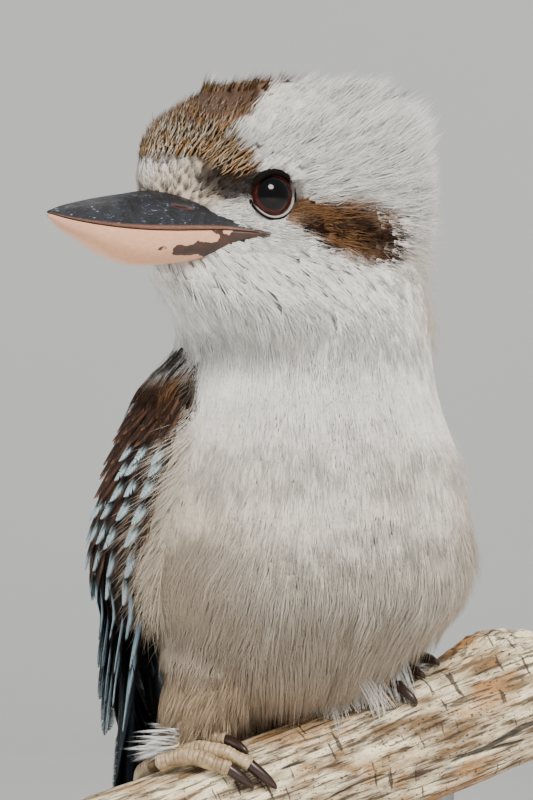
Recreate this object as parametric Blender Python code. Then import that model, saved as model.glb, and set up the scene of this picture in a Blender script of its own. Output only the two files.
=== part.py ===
"""Laughing kookaburra, life size, upright on a cut length of branch that a plain stand holds.

Metres, +Z up, with the origin at the middle of the stand base's underside. The bird's body faces
mostly along -Y, its head is turned to its own right, and its tail hangs behind the branch.
"""

import math

import bmesh
import bpy
import numpy as np
from mathutils import Vector

# Driving dimensions
GAP = 0.0004
CLEAR = 0.0006
WELD = 0.00004
NUDGE = 0.000006
FAST = ("MANIFOLD", "EXACT")
LEVEL = 0.142
BODY_AXIS = np.array((0.0097, 0.0))
BODY_HEADING = math.radians(-65.0)
HEAD_ORIGIN = np.array((-0.0127, -0.027))
HEAD_HEADING = math.radians(-131.0)
EYE_HEIGHT = 0.1824
NECK_CUT = 0.136
HEAD_CUT = 0.1604

# Body sections from the vent to the crown: height over LEVEL, turn from the body's heading (0) to
# the head's (1), middle along the heading, reach ahead, reach behind, half width, nose power
SECTIONS = (
    (0.009, 0.0, -0.0310, 0.003, 0.003, 0.0035, 2.0),
    (0.012, 0.0, -0.0310, 0.007, 0.007, 0.0080, 2.0),
    (0.020, 0.0, -0.0300, 0.013, 0.014, 0.0180, 2.0),
    (0.028, 0.0, -0.0220, 0.023, 0.026, 0.0240, 2.0),
    (0.036, 0.0, -0.0160, 0.031, 0.034, 0.0295, 2.0),
    (0.045, 0.0, -0.0100, 0.041, 0.045, 0.0365, 2.1),
    (0.061, 0.0, -0.0030, 0.053, 0.052, 0.0480, 2.1),
    (0.079, 0.0, -0.0005, 0.053, 0.053, 0.0515, 2.1),
    (0.091, 0.0, 0.0000, 0.051, 0.051, 0.0498, 2.1),
    (0.106, 0.0, 0.0005, 0.048, 0.048, 0.0465, 2.1),
    (0.120, 0.0, 0.0005, 0.044, 0.044, 0.0420, 2.0),
    (0.134, 0.25, 0.0000, 0.042, 0.039, 0.0392, 2.0),
    (0.148, 0.75, -0.0380, 0.053, 0.034, 0.0380, 1.9),
    (0.1584, 1.0, -0.0380, 0.063, 0.031, 0.0372, 1.6),
    (0.1684, 1.0, -0.0400, 0.070, 0.029, 0.0372, 1.5),
    (0.1784, 1.0, -0.0420, 0.076, 0.027, 0.0372, 1.4),
    (0.1884, 1.0, -0.0420, 0.077, 0.0265, 0.0372, 1.45),
    (0.1968, 1.0, -0.0420, 0.074, 0.0255, 0.0362, 1.6),
    (0.2052, 1.0, -0.0420, 0.065, 0.0225, 0.0325, 1.8),
    (0.2115, 1.0, -0.0410, 0.051, 0.0190, 0.0250, 1.9),
    (0.2160, 1.0, -0.0390, 0.034, 0.013, 0.0160, 2.0),
    (0.2175, 1.0, -0.0380, 0.014, 0.007, 0.0080, 2.0),
)
BACK_POWER = 2.2
BODY_SIDES = 42

# Bill stations back from the tip: place along the head, half width, top, mouth line, underside
BILL = (
    (0.0774, 0.0007, -0.0060, -0.0068, -0.0080),
    (0.0728, 0.0024, -0.0047, -0.0080, -0.0108),
    (0.0634, 0.0052, -0.0029, -0.0096, -0.0146),
    (0.0541, 0.0078, -0.0016, -0.0106, -0.0183),
    (0.0447, 0.0100, -0.0005, -0.0111, -0.0209),
    (0.0363, 0.0120, 0.0005, -0.0112, -0.0215),
    (0.0268, 0.0142, 0.0001, -0.0110, -0.0208),
    (0.0160, 0.0165, -0.0036, -0.0109, -0.0199),
    (0.0080, 0.0182, -0.0076, -0.0112, -0.0172),
)
BILL_SIDES = 9
MOUTH_GAP = 0.0004
NOSTRIL = (0.0310, 0.0110, -0.0040)

EYE_RADIUS = 0.0072
EYE_CENTRE = (0.0032, 0.0172, 0.0)
EYE_TILT = (0.34, 0.94, 0.04)
LID_RADIUS = 0.0064
LID_THICKNESS = 0.0010

PERCH_MIDDLE = np.array((0.0122, -0.0054, 0.0060))
PERCH_TURN = math.radians(20.0)
PERCH_RISE = 0.36
PERCH_LEFT = -0.072
PERCH_RIGHT = 0.083
PERCH_RADIUS = 0.0183
PERCH_SIDES = 20
PERCH_STATIONS = 13

BASE_RADIUS = 0.112
BASE_HEIGHT = 0.014
BASE_BEVEL = 0.003
BASE_SIDES = 36
ROD_RADIUS = 0.0040
ROD_PLACES = (-0.040, 0.046)
ROD_ENTRY = 0.007

TAIL_ROOT = (-0.0440, 0.0330)
TAIL_TIP = (-0.0990, -0.1040)
TAIL_FEATHERS = 6

FORM = bpy.data.collections.new("kookaburra_on_stand")
HELPERS = bpy.data.collections.new("helpers")


def clear_scene():
    """Empties the scene and adds the two collections, with the helpers' one out of the render."""
    for obj in list(bpy.data.objects):
        bpy.data.objects.remove(obj, do_unlink=True)
    bpy.context.scene.collection.children.link(FORM)
    bpy.context.scene.collection.children.link(HELPERS)
    HELPERS.hide_render = True


def finish(name, colour, roughness, metallic=0.0):
    material = bpy.data.materials.new(name)
    material.use_nodes = True
    shader = material.node_tree.nodes["Principled BSDF"]
    shader.inputs["Base Color"].default_value = (*colour, 1.0)
    shader.inputs["Roughness"].default_value = roughness
    shader.inputs["Metallic"].default_value = metallic
    return material


def add_mesh(name, points, faces, material=None, collection=None):
    """A mesh object with its faces turned outward and smooth shading under 40 degrees."""
    mesh = bpy.data.meshes.new(name)
    mesh.from_pydata([tuple(map(float, p)) for p in points], [], faces)
    build = bmesh.new()
    build.from_mesh(mesh)
    bmesh.ops.recalc_face_normals(build, faces=build.faces)
    bmesh.ops.triangulate(build, faces=build.faces)
    build.to_mesh(mesh)
    build.free()
    obj = bpy.data.objects.new(name, mesh)
    (collection or FORM).objects.link(obj)
    if collection is HELPERS:
        obj.hide_render = True
        obj.display_type = "WIRE"
    if material:
        mesh.materials.append(material)
    mesh.shade_smooth()
    mesh.set_sharp_from_angle(angle=math.radians(40.0))
    return obj


def loft(rings):
    """Points and faces of a closed loft through rings of equal count, flat at both ends."""
    count = len(rings[0])
    points = [p for ring in rings for p in ring]
    faces = []
    for i in range(len(rings) - 1):
        for j in range(count):
            k = (j + 1) % count
            a, b = i * count + j, i * count + k
            faces.append((a, b, b + count))
            faces.append((a, b + count, a + count))
    last = (len(rings) - 1) * count
    faces.append(tuple(range(count))[::-1])
    faces.append(tuple(range(last, last + count)))
    return points, faces


def evaluated(obj):
    """Applies the object's modifiers to its mesh."""
    graph = bpy.context.evaluated_depsgraph_get()
    mesh = bpy.data.meshes.new_from_object(obj.evaluated_get(graph))
    obj.modifiers.clear()
    obj.data = mesh
    return obj


def closed(build):
    return all(len(edge.link_faces) == 2 for edge in build.edges)


def keep_largest(obj):
    """Drops every closed surface but the largest, and says whether all its edges join two faces."""
    build = bmesh.new()
    for weld in (WELD, WELD / 5, WELD / 25, 0.0):
        build.clear()
        build.from_mesh(obj.data)
        bmesh.ops.remove_doubles(build, verts=build.verts, dist=weld)
        if closed(build):
            break
    left = set(build.faces)
    shells = []
    while left:
        seed = left.pop()
        shell, open_faces = [seed], [seed]
        while open_faces:
            for edge in open_faces.pop().edges:
                for face in edge.link_faces:
                    if face in left:
                        left.discard(face)
                        shell.append(face)
                        open_faces.append(face)
        shells.append(shell)
    shells.sort(key=lambda shell: sum(face.calc_area() for face in shell), reverse=True)
    for shell in shells[1:]:
        bmesh.ops.delete(build, geom=shell, context="FACES")
    good = closed(build)
    build.to_mesh(obj.data)
    build.free()
    return good


def combine(obj, pieces, operation, solvers=("EXACT", "MANIFOLD")):
    """One Boolean of the object with a collection of pieces, applied, with the pieces removed."""
    group = bpy.data.collections.new(obj.name + "_pieces")
    HELPERS.children.link(group)
    for piece in pieces:
        for old in list(piece.users_collection):
            old.objects.unlink(piece)
        group.objects.link(piece)
    before = obj.data
    for attempt, solver in enumerate(solvers * 3):
        for piece in pieces:
            piece.location = Vector((1.0, 2.0, -3.0)) * NUDGE * attempt
        obj.data = before.copy()
        bpy.context.view_layer.update()
        modifier = obj.modifiers.new(operation.lower(), "BOOLEAN")
        modifier.operation = operation
        modifier.operand_type = "COLLECTION"
        modifier.collection = group
        modifier.solver = solver
        evaluated(obj)
        if keep_largest(obj):
            break
    for piece in pieces:
        bpy.data.objects.remove(piece, do_unlink=True)
    bpy.data.collections.remove(group)
    return obj


# Places on the bird
def heading_pair(heading):
    ahead = np.array((math.cos(heading), math.sin(heading)))
    left = np.array((-ahead[1], ahead[0]))
    return ahead, left


def body_place(ahead_by, left_by, height):
    """World place of a point given along the body's heading, to its left, and over LEVEL."""
    ahead, left = heading_pair(BODY_HEADING)
    x, y = BODY_AXIS + ahead * ahead_by + left * left_by
    return np.array((x, y, height + LEVEL))


def head_place(ahead_by, left_by, over_eye):
    """World place of a point given along the head's heading, to its left, and over the eyes."""
    ahead, left = heading_pair(HEAD_HEADING)
    x, y = HEAD_ORIGIN + ahead * ahead_by + left * left_by
    return np.array((x, y, over_eye + EYE_HEIGHT + LEVEL))


def section_table():
    """Each section as height, middle x and y, heading, reaches, half width and nose power."""
    body_ahead, _ = heading_pair(BODY_HEADING)
    head_ahead, _ = heading_pair(HEAD_HEADING)
    rows = []
    for height, turn, middle, front, back, half, power in SECTIONS:
        on_body = BODY_AXIS + body_ahead * (middle if turn < 0.5 else 0.0)
        on_head = HEAD_ORIGIN + head_ahead * (middle if turn > 0.5 else -0.040)
        place = on_body * (1.0 - turn) + on_head * turn
        heading = BODY_HEADING + (HEAD_HEADING - BODY_HEADING) * turn
        rows.append((height, place[0], place[1], heading, front, back, half, power))
    return np.array(rows)


def smooth_column(heights, values, height):
    """Cubic through the table's values, with slopes from each point's neighbours."""
    slopes = np.gradient(values, heights)
    i = int(np.clip(np.searchsorted(heights, height) - 1, 0, len(heights) - 2))
    span = heights[i + 1] - heights[i]
    t = (height - heights[i]) / span
    start = (2 * t**3 - 3 * t**2 + 1) * values[i] + (t**3 - 2 * t**2 + t) * span * slopes[i]
    end = (3 * t**2 - 2 * t**3) * values[i + 1] + (t**3 - t**2) * span * slopes[i + 1]
    return start + end


TABLE = section_table()


def section_at(height):
    return [smooth_column(TABLE[:, 0], TABLE[:, c], height) for c in range(1, TABLE.shape[1])]


def reach(section, azimuth):
    """Distance from the section's middle to the body's outline at a world azimuth."""
    _, _, heading, front, back, half, power = section
    turn = azimuth - heading
    along, across = math.cos(turn), math.sin(turn)
    n = power if along > 0 else BACK_POWER
    far = front if along > 0 else back
    return (abs(along / far) ** n + abs(across / half) ** n) ** (-1.0 / n)


def skin_point(azimuth, height, lift=0.0):
    """A point of the body's outline at a world azimuth and a height over LEVEL."""
    section = section_at(height)
    r = reach(section, azimuth) + lift
    x = section[0] + r * math.cos(azimuth)
    y = section[1] + r * math.sin(azimuth)
    return np.array((x, y, height + LEVEL))


def body_rings(heights, lift=0.0):
    turns = [2.0 * math.pi * j / BODY_SIDES for j in range(BODY_SIDES)]
    return [[skin_point(turn, height, lift) for turn in turns] for height in heights]


def heights_between(low, high, count):
    return [low + (high - low) * i / (count - 1) for i in range(count)]


# Bill
def bill_half(sections, upper):
    """Rings of one half of the bill: a rounded back over a flat face along the mouth line."""
    rings = []
    for along, half, top, mouth, under in sections:
        edge = mouth + MOUTH_GAP / 2 if upper else mouth - MOUTH_GAP / 2
        crown = top if upper else under
        ring = []
        for j in range(BILL_SIDES):
            turn = math.pi * j / (BILL_SIDES - 1)
            across = half * math.copysign(abs(math.cos(turn)) ** 0.9, math.cos(turn))
            lift = (crown - edge) * math.sin(turn) ** 0.85
            ring.append(head_place(along, across, edge + lift))
        rings.append(ring if upper else ring[::-1])
    return rings


def make_bill():
    slate = finish("bill_slate", (0.03, 0.035, 0.05), 0.35)
    horn = finish("bill_horn", (0.75, 0.52, 0.38), 0.4)
    upper = add_mesh("bill_upper", *loft(bill_half(BILL, True)), slate)
    lower = add_mesh("bill_lower", *loft(bill_half(BILL, False)), horn)
    cutters = []
    for side in (1, -1):
        place = Vector(head_place(NOSTRIL[0], side * NOSTRIL[1], NOSTRIL[2]))
        build = bmesh.new()
        bmesh.ops.create_uvsphere(build, u_segments=6, v_segments=4, radius=0.001)
        for vertex in build.verts:
            along, across, up = vertex.co.x * 2.8, vertex.co.y * 1.3, vertex.co.z * 0.7
            turned = head_place(along, across, up) - head_place(0, 0, 0)
            vertex.co = place + Vector(turned)
        mesh = bpy.data.meshes.new("nostril")
        build.to_mesh(mesh)
        build.free()
        cutter = bpy.data.objects.new("nostril", mesh)
        HELPERS.objects.link(cutter)
        cutters.append(cutter)
    combine(upper, cutters, "DIFFERENCE")
    return upper, lower


def bill_cutter():
    """The closed bill's outer shape, grown by the gap, that the head's front is cut with."""
    rings = []
    for along, half, top, mouth, under in BILL + ((0.0076, 0.0183, -0.0070, -0.0112, -0.0169),):
        ring = []
        for upper in (True, False):
            crown = top + GAP if upper else under - GAP
            for j in range(BILL_SIDES - 1):
                turn = math.pi * j / (BILL_SIDES - 1)
                turn = turn if upper else turn + math.pi
                across = (half + GAP) * math.copysign(abs(math.cos(turn)) ** 0.9, math.cos(turn))
                lift = (crown - mouth) * abs(math.sin(turn)) ** 0.85
                ring.append(head_place(along, across, mouth + lift))
        rings.append(ring)
    return add_mesh("bill_space", *loft(rings), None, HELPERS)


# Feather vanes
VANE_THICK = 0.0006


def vane(path, halves, facings):
    """A closed feather blade along a path, split into triangles alike on both of its faces."""
    path = [Vector(p) for p in path]
    points, faces = [], []
    last = len(path) - 1
    for i, point in enumerate(path):
        ahead = (path[min(i + 1, last)] - path[max(i - 1, 0)]).normalized()
        out = Vector(facings[i])
        out = (out - ahead * out.dot(ahead)).normalized()
        across = ahead.cross(out) * halves[i]
        skin = out * (VANE_THICK * (0.5 - 0.25 * (i == last)))
        points += [point - across + skin, point + across + skin, point + across - skin, point - across - skin]
    for i in range(last):
        a, b = 4 * i, 4 * i + 4
        faces += [(a, a + 1, b + 1), (a, b + 1, b)]
        faces += [(a + 3, b + 2, a + 2), (a + 3, b + 3, b + 2)]
        faces += [(a + 1, a + 2, b + 2), (a + 1, b + 2, b + 1)]
        faces += [(a + 3, a, b), (a + 3, b, b + 3)]
    faces.append((3, 2, 1, 0))
    faces.append((4 * last, 4 * last + 1, 4 * last + 2, 4 * last + 3))
    return add_mesh("vane", points, faces, None, HELPERS)


def blade_halves(half, count, root=0.55, tip=0.22):
    """Half widths along a blade: narrow at its root, full past the middle, drawn in at its tip."""
    halves = []
    for i in range(count):
        t = i / (count - 1)
        swell = root + (1.0 - root) * min(1.0, t * 2.2)
        close = 1.0 if t < 0.7 else 1.0 - (1.0 - tip) * ((t - 0.7) / 0.3) ** 2
        halves.append(half * swell * close)
    return halves


# Eyes
def eye_axes(side):
    """The eye's middle and its outward direction in the world."""
    middle = head_place(EYE_CENTRE[0], side * EYE_CENTRE[1], EYE_CENTRE[2])
    tip = head_place(
        EYE_CENTRE[0] + EYE_TILT[0], side * (EYE_CENTRE[1] + EYE_TILT[1]), EYE_CENTRE[2] + EYE_TILT[2]
    )
    outward = Vector(tip - middle).normalized()
    return Vector(middle), outward


def ball(name, centre, radius, material=None, collection=None, sides=16):
    build = bmesh.new()
    bmesh.ops.create_uvsphere(build, u_segments=sides, v_segments=sides // 2, radius=radius)
    points = [vertex.co + centre for vertex in build.verts]
    faces = [tuple(v.index for v in face.verts) for face in build.faces]
    build.free()
    return add_mesh(name, points, faces, material, collection)


def lid_ring(side):
    """The lids as one raised ring round the eye's opening."""
    middle, outward = eye_axes(side)
    across = outward.cross(Vector((0, 0, 1))).normalized()
    up = across.cross(outward)
    around, round_section = 18, 5
    centre = middle + outward * math.sqrt(EYE_RADIUS**2 - LID_RADIUS**2)
    points, faces = [], []
    for i in range(around):
        turn = 2 * math.pi * i / around
        spoke = across * math.cos(turn) + up * math.sin(turn)
        for j in range(round_section):
            bend = 2 * math.pi * j / round_section
            far = LID_RADIUS + LID_THICKNESS * 1.6 + LID_THICKNESS * 1.4 * math.cos(bend)
            points.append(centre + spoke * far + outward * LID_THICKNESS * math.sin(bend))
    for i in range(around):
        for j in range(round_section):
            a = i * round_section + j
            b = i * round_section + (j + 1) % round_section
            c = ((i + 1) % around) * round_section
            faces.append((a, b, c + (j + 1) % round_section, c + j))
    return add_mesh("lids", points, faces, None, HELPERS)


# Crest: rows of lance-shaped feathers as height, length, first and last degrees from the heading,
# count on one side, rise of their lie in degrees
CREST_ROWS = (
    (0.2130, 0.0180, 24.0, 156.0, 3, 20.0),
    (0.2050, 0.0200, 16.0, 164.0, 4, 25.0),
    (0.1950, 0.0210, 14.0, 168.0, 5, 25.0),
    (0.1840, 0.0200, 70.0, 168.0, 4, 12.0),
    (0.1730, 0.0180, 98.0, 168.0, 3, -12.0),
)
CREST_HALF = 0.0054
CREST_STAND = 0.42


def skin_normal(azimuth, height):
    """The body surface's outward direction at a world azimuth and a height over LEVEL."""
    step = 0.0005
    around = skin_point(azimuth + 0.01, height) - skin_point(azimuth - 0.01, height)
    rise = skin_point(azimuth, height + step) - skin_point(azimuth, height - step)
    return Vector(np.cross(around, rise)).normalized()


def crest_feather(azimuth, height, length, rise):
    """One crown feather, rooted in the head and lying back along it with its tip raised free."""
    out = skin_normal(azimuth, height)
    back = -Vector((math.cos(HEAD_HEADING), math.sin(HEAD_HEADING), 0.0))
    climb = math.radians(rise)
    wish = back * math.cos(climb) + Vector((0, 0, 1)) * math.sin(climb)
    lie = (wish - out * wish.dot(out)).normalized()
    root = Vector(skin_point(azimuth, height, 0.0)) - out * 0.0012 - lie * length * 0.12
    middle = root + lie * length * 0.5 + out * length * 0.10
    tip = root + lie * length * 0.95 + out * length * CREST_STAND
    return vane((root, middle, tip), (CREST_HALF * 0.8, CREST_HALF, CREST_HALF * 0.3), [out] * 3)


def make_head():
    """The head with its crest and lids, cut clear of the bill and of the eyes."""
    white = finish("head_plumage", (0.78, 0.76, 0.72), 0.85)
    dark = finish("eye_brown", (0.04, 0.015, 0.01), 0.08)
    heights = heights_between(HEAD_CUT, SECTIONS[-1][0], 16)
    head = add_mesh("head", *loft(body_rings(heights)), white)
    additions = [lid_ring(1), lid_ring(-1)]
    for height, length, first, last, count, rise in CREST_ROWS:
        for side in (1, -1):
            for i in range(count):
                turn = math.radians(first + (last - first) * i / (count - 1))
                additions.append(crest_feather(HEAD_HEADING + side * turn, height, length, rise))
    combine(head, additions, "UNION", FAST)
    spaces = [bill_cutter()]
    for side, name in ((1, "eye_left"), (-1, "eye_right")):
        middle, outward = eye_axes(side)
        ball(name, middle, EYE_RADIUS, dark)
        spaces.append(ball("eye_space", middle, EYE_RADIUS + GAP, None, HELPERS))
    return combine(head, spaces, "DIFFERENCE")


def torso_heights():
    return [row[0] for row in SECTIONS[:5]] + heights_between(SECTIONS[5][0], NECK_CUT, 12)


def torso_space():
    """The torso's outer shape with its gap, that the tail's root is cut with."""
    return add_mesh("torso_space", *loft(body_rings(torso_heights(), CLEAR)), None, HELPERS)


def make_trunk(spaces):
    """The neck and the torso, parted from the head and each other by flat cuts."""
    cream = finish("breast_plumage", (0.72, 0.68, 0.6), 0.9)
    neck_heights = heights_between(NECK_CUT + GAP, HEAD_CUT - GAP, 4)
    add_mesh("neck", *loft(body_rings(neck_heights)), cream)
    torso = add_mesh("torso", *loft(body_rings(torso_heights())), cream)
    return combine(torso, [perch_space(), *spaces], "DIFFERENCE", FAST)


# Wings: rows of a solid arm as height, front and back edge in degrees from the heading, thickness
WING_ROWS = (
    (0.1290, 86.0, 112.0, 0.0010),
    (0.1240, 80.0, 128.0, 0.0030),
    (0.1080, 76.0, 150.0, 0.0050),
    (0.0930, 79.0, 158.0, 0.0062),
    (0.0780, 84.0, 163.0, 0.0068),
    (0.0695, 87.0, 164.5, 0.0072),
    (0.0610, 90.0, 166.0, 0.0075),
    (0.0486, 96.0, 168.0, 0.0072),
    (0.0380, 102.0, 168.0, 0.0045),
)
LEFT_TUCK = 15.0
WING_STEPS = 8
WING_GAP = 0.0013
COVERT_ROWS = (
    (0.1250, 0.0230, 3, 0.0068),
    (0.1120, 0.0260, 5, 0.0068),
    (0.0970, 0.0270, 5, 0.0078),
    (0.0820, 0.0370, 5, 0.0080),
)
COVERT_TILT = 0.8
COVERT_ROOT = -0.0016
COVERT_LIFT = 0.0034
SECONDARIES = 5
PRIMARIES = 4
FLIGHT_BOW = 0.006


def wing_place(side, height, share, lift, inner=False):
    """A place on the wing: share 0 is its front edge and 1 its back, lift is off its outer face."""
    table = np.array(WING_ROWS)
    rising = table[::-1]
    front, back, thick = (np.interp(height, rising[:, 0], rising[:, c]) for c in (1, 2, 3))
    front += LEFT_TUCK * (side > 0)
    turn = math.radians(front + (back - front) * share)
    azimuth = BODY_HEADING + side * turn
    section = section_at(height)
    rim = 1.0 - abs(2.0 * min(max(share, 0.0), 1.0) - 1.0) ** 3
    far = WING_GAP if inner else 0.0024 + thick * (0.25 + 0.75 * rim)
    r = reach(section, azimuth) + far + lift
    x = section[0] + r * math.cos(azimuth)
    y = section[1] + r * math.sin(azimuth)
    return np.array((x, y, height + LEVEL))


def outward(side, height, share):
    return wing_place(side, height, share, 0.01) - wing_place(side, height, share, 0.0)


def covert(side, height, length, share, half):
    """One covert: its root sunk in the arm, its tip lifted clear of the row below."""
    count = 3
    path, facings = [], []
    for i in range(count):
        t = i / (count - 1)
        place = max(height - length * t, 0.030)
        drift = share + 0.03 * t
        path.append(wing_place(side, place, drift, COVERT_ROOT + COVERT_LIFT * t))
        tilt = wing_place(side, place, drift + 0.02, 0.0) - wing_place(side, place, drift - 0.02, 0.0)
        facings.append(outward(side, place, drift) + tilt * COVERT_TILT * t)
    return vane(path, (half * 0.8, half, half * 0.4), facings)


def flight_feather(side, share, root, tip, half, facing, count=4):
    """One flight feather, curved from inside the arm along the flank to its free tip."""
    start = wing_place(side, root, share, -0.0030)
    path, facings = [], []
    base_out = outward(side, root, share)
    base_out = base_out / np.linalg.norm(base_out)
    middle = start * 0.55 + tip * 0.45 + base_out * FLIGHT_BOW
    for i in range(count):
        t = i / (count - 1)
        path.append(start * (1 - t) ** 2 + middle * 2 * t * (1 - t) + tip * t**2)
        facings.append(base_out * (1 - t) + facing * t)
    return vane(path, blade_halves(half, count, 0.7, 0.3), facings)


def make_wing(side, name, spaces):
    """A folded wing: a solid arm, tiers of coverts over it, and flight feathers past its end."""
    brown = finish(name, (0.06, 0.04, 0.03), 0.6)
    rings = []
    shares = [i / (WING_STEPS - 1) for i in range(WING_STEPS)]
    for row in WING_ROWS:
        outer = [wing_place(side, row[0], share, 0.0) for share in shares]
        inner = [wing_place(side, row[0], share, 0.0, True) for share in reversed(shares)]
        rings.append(outer + inner)
    wing = add_mesh(name, *loft(rings), brown)
    vanes = []
    for height, length, count, half in COVERT_ROWS:
        for i in range(count):
            vanes.append(covert(side, height, length, 0.04 + 0.90 * i / (count - 1), half))
    tip_facing = body_place(-0.35, side * 0.94, 0.0) - body_place(0.0, 0.0, 0.0)
    for i in range(PRIMARIES):
        tip = body_place(-0.0640 + 0.0012 * i, side * (0.0225 + 0.0011 * i), -0.035 + 0.0085 * i)
        vanes.append(flight_feather(side, 0.16 + 0.075 * i, 0.050, tip, 0.0058, tip_facing))
    for i in range(SECONDARIES):
        tip = body_place(-0.0600 - 0.0006 * i, side * (0.0300 - 0.0012 * i), 0.012 + 0.0015 * i)
        tip = tip + tip_facing * 0.0012 * i
        vanes.append(flight_feather(side, 0.42 + 0.125 * i, 0.056, tip, 0.0078, tip_facing))
    combine(wing, vanes, "UNION", FAST)
    return combine(wing, spaces, "DIFFERENCE", FAST)


# Tail: a short solid root under its coverts, then pairs of feathers layered downward
TAIL_BACK = (-0.927, 0.373)
TAIL_LEVEL = 0.00095
TAIL_HALF = 0.0062
TAIL_CORE = ((0.0, 0.0110, 0.0052), (0.12, 0.0120, 0.0048), (0.24, 0.0110, 0.0036), (0.30, 0.0080, 0.0020))


def tail_place(share, left_by, over):
    """A place on the tail: share of its length from the root, to its left, over its back."""
    ahead = TAIL_ROOT[0] + (TAIL_TIP[0] - TAIL_ROOT[0]) * share + TAIL_BACK[0] * over
    height = TAIL_ROOT[1] + (TAIL_TIP[1] - TAIL_ROOT[1]) * share + TAIL_BACK[1] * over
    return body_place(ahead, left_by, height)


def make_tail():
    rufous = finish("tail_rufous", (0.25, 0.11, 0.05), 0.6)
    rings = []
    for share, half, thick in TAIL_CORE:
        turns = [2 * math.pi * j / 12 for j in range(12)]
        rings.append([tail_place(share, half * math.cos(t), thick * math.sin(t)) for t in turns])
    tail = add_mesh("tail", *loft(rings), rufous)
    facing = tail_place(0.5, 0.0, 1.0) - tail_place(0.5, 0.0, 0.0)
    vanes = []
    count = 5
    for side in (1, -1):
        for i in range(TAIL_FEATHERS):
            length = 1.0 - 0.018 * i
            level = i + 1 if i or side < 0 else 0
            inset = 0.0066 if i else 0.0024
            path = []
            for j in range(count):
                t = j / (count - 1)
                share = 0.10 + (length - 0.10) * t
                left_by = side * (inset + (0.0004 + 0.0019 * i) * t)
                over = 0.0034 - TAIL_LEVEL * level + 0.0010 * math.sin(math.pi * t)
                path.append(tail_place(share, left_by, over))
            halves = blade_halves(TAIL_HALF, count, 0.6, 0.5)
            vanes.append(vane(path, halves, [facing] * count))
    combine(tail, vanes, "UNION", FAST)
    return combine(tail, [torso_space()], "DIFFERENCE", FAST)


# Perch, perch-side places and feet
def perch_axes():
    flat = np.array((math.cos(PERCH_TURN), math.sin(PERCH_TURN), 0.0))
    along = flat + np.array((0, 0, PERCH_RISE * math.cos(PERCH_TURN)))
    along /= np.linalg.norm(along)
    front = np.array((math.sin(PERCH_TURN), -math.cos(PERCH_TURN), 0.0))
    up = np.cross(front, along)
    return along, up / np.linalg.norm(up), front


def perch_radius(along, turn):
    """The branch's worn radius: long ridges, a swelling and a broken knob near its high end."""
    ridges = 0.00035 * math.sin(5 * turn + 40 * along) + 0.0003 * math.sin(9 * turn - 60 * along)
    swell = 0.0012 * math.exp(-(((along - 0.042) / 0.02) ** 2))
    knob = 0.0050 * math.exp(-(((along - 0.068) / 0.012) ** 2) - ((turn + 0.1) / 0.7) ** 2)
    return PERCH_RADIUS + ridges + swell + knob


def perch_place(along_by, turn, over):
    """A place over the branch's surface: along it, round it from its top to the front, above it."""
    along, up, front = perch_axes()
    middle = PERCH_MIDDLE + np.array((0, 0, LEVEL)) + along * along_by
    far = perch_radius(along_by, turn) + over
    return middle + (up * math.cos(turn) + front * math.sin(turn)) * far


def perch_rings(over):
    rings = []
    for i in range(PERCH_STATIONS):
        along = PERCH_LEFT + (PERCH_RIGHT - PERCH_LEFT) * i / (PERCH_STATIONS - 1)
        turns = [2 * math.pi * j / PERCH_SIDES - math.pi for j in range(PERCH_SIDES)]
        rings.append([perch_place(along, turn, over) for turn in turns])
    return rings


def make_perch():
    wood = finish("perch_wood", (0.55, 0.44, 0.3), 0.85)
    return add_mesh("perch", *loft(perch_rings(0.0)), wood)


def perch_space():
    return add_mesh("perch_space", *loft(perch_rings(CLEAR)), None, HELPERS)


def cylinder(name, centre, radius, low, high, sides, material=None, collection=None):
    turns = [2 * math.pi * j / sides for j in range(sides)]
    rings = []
    for height in (low, high):
        ring = [(centre[0] + radius * math.cos(t), centre[1] + radius * math.sin(t), height) for t in turns]
        rings.append(ring)
    return add_mesh(name, *loft(rings), material, collection)


def make_stand(perch):
    black = finish("stand_wood", (0.03, 0.025, 0.02), 0.4)
    steel = finish("stand_steel", (0.35, 0.35, 0.36), 0.3, 1.0)
    turns = [2 * math.pi * j / BASE_SIDES for j in range(BASE_SIDES)]
    rings = []
    shoulder = (BASE_RADIUS, BASE_HEIGHT - BASE_BEVEL)
    for far, height in ((BASE_RADIUS, 0.0), shoulder, (BASE_RADIUS - BASE_BEVEL, BASE_HEIGHT)):
        rings.append([(far * math.cos(t), far * math.sin(t), height) for t in turns])
    add_mesh("stand_base", *loft(rings), black)
    along, _, _ = perch_axes()
    holes = []
    for number, place in enumerate(ROD_PLACES, start=1):
        middle = PERCH_MIDDLE + np.array((0, 0, LEVEL)) + along * place
        top = middle[2] - PERCH_RADIUS + ROD_ENTRY
        cylinder(f"stand_rod_{number}", middle[:2], ROD_RADIUS, BASE_HEIGHT + GAP, top, 16, steel)
        holes.append(cylinder("rod_hole", middle[:2], ROD_RADIUS + GAP, 0.05, top + GAP, 16, None, HELPERS))
    combine(perch, holes, "DIFFERENCE")


# Legs: toe paths on the branch as start and end place along it and turn round it
TOE_RADIUS = 0.0027
TOE_SIDES = 7
TOE_SCUTES = 5
FEET = (
    ("right", -0.0350, 0.0028, (
        ("outer", -0.0440, 0.10, -0.0270, 0.85, 0.0065),
        ("middle", -0.0375, 0.02, -0.0205, 0.90, 0.0080),
        ("inner", -0.0310, -0.20, -0.0215, 0.22, 0.0075),
        ("hind", -0.0410, -0.45, -0.0480, -1.35, 0.0070),
    )),
    ("left", 0.0300, 0.0086, (
        ("inner", 0.0230, -0.15, 0.0330, 0.42, 0.0085),
        ("middle", 0.0290, -0.35, 0.0400, 0.02, 0.0080),
        ("outer", 0.0350, -0.60, 0.0470, -0.12, 0.0065),
        ("hind", 0.0250, -0.62, 0.0180, -1.50, 0.0070),
    )),
)


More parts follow.
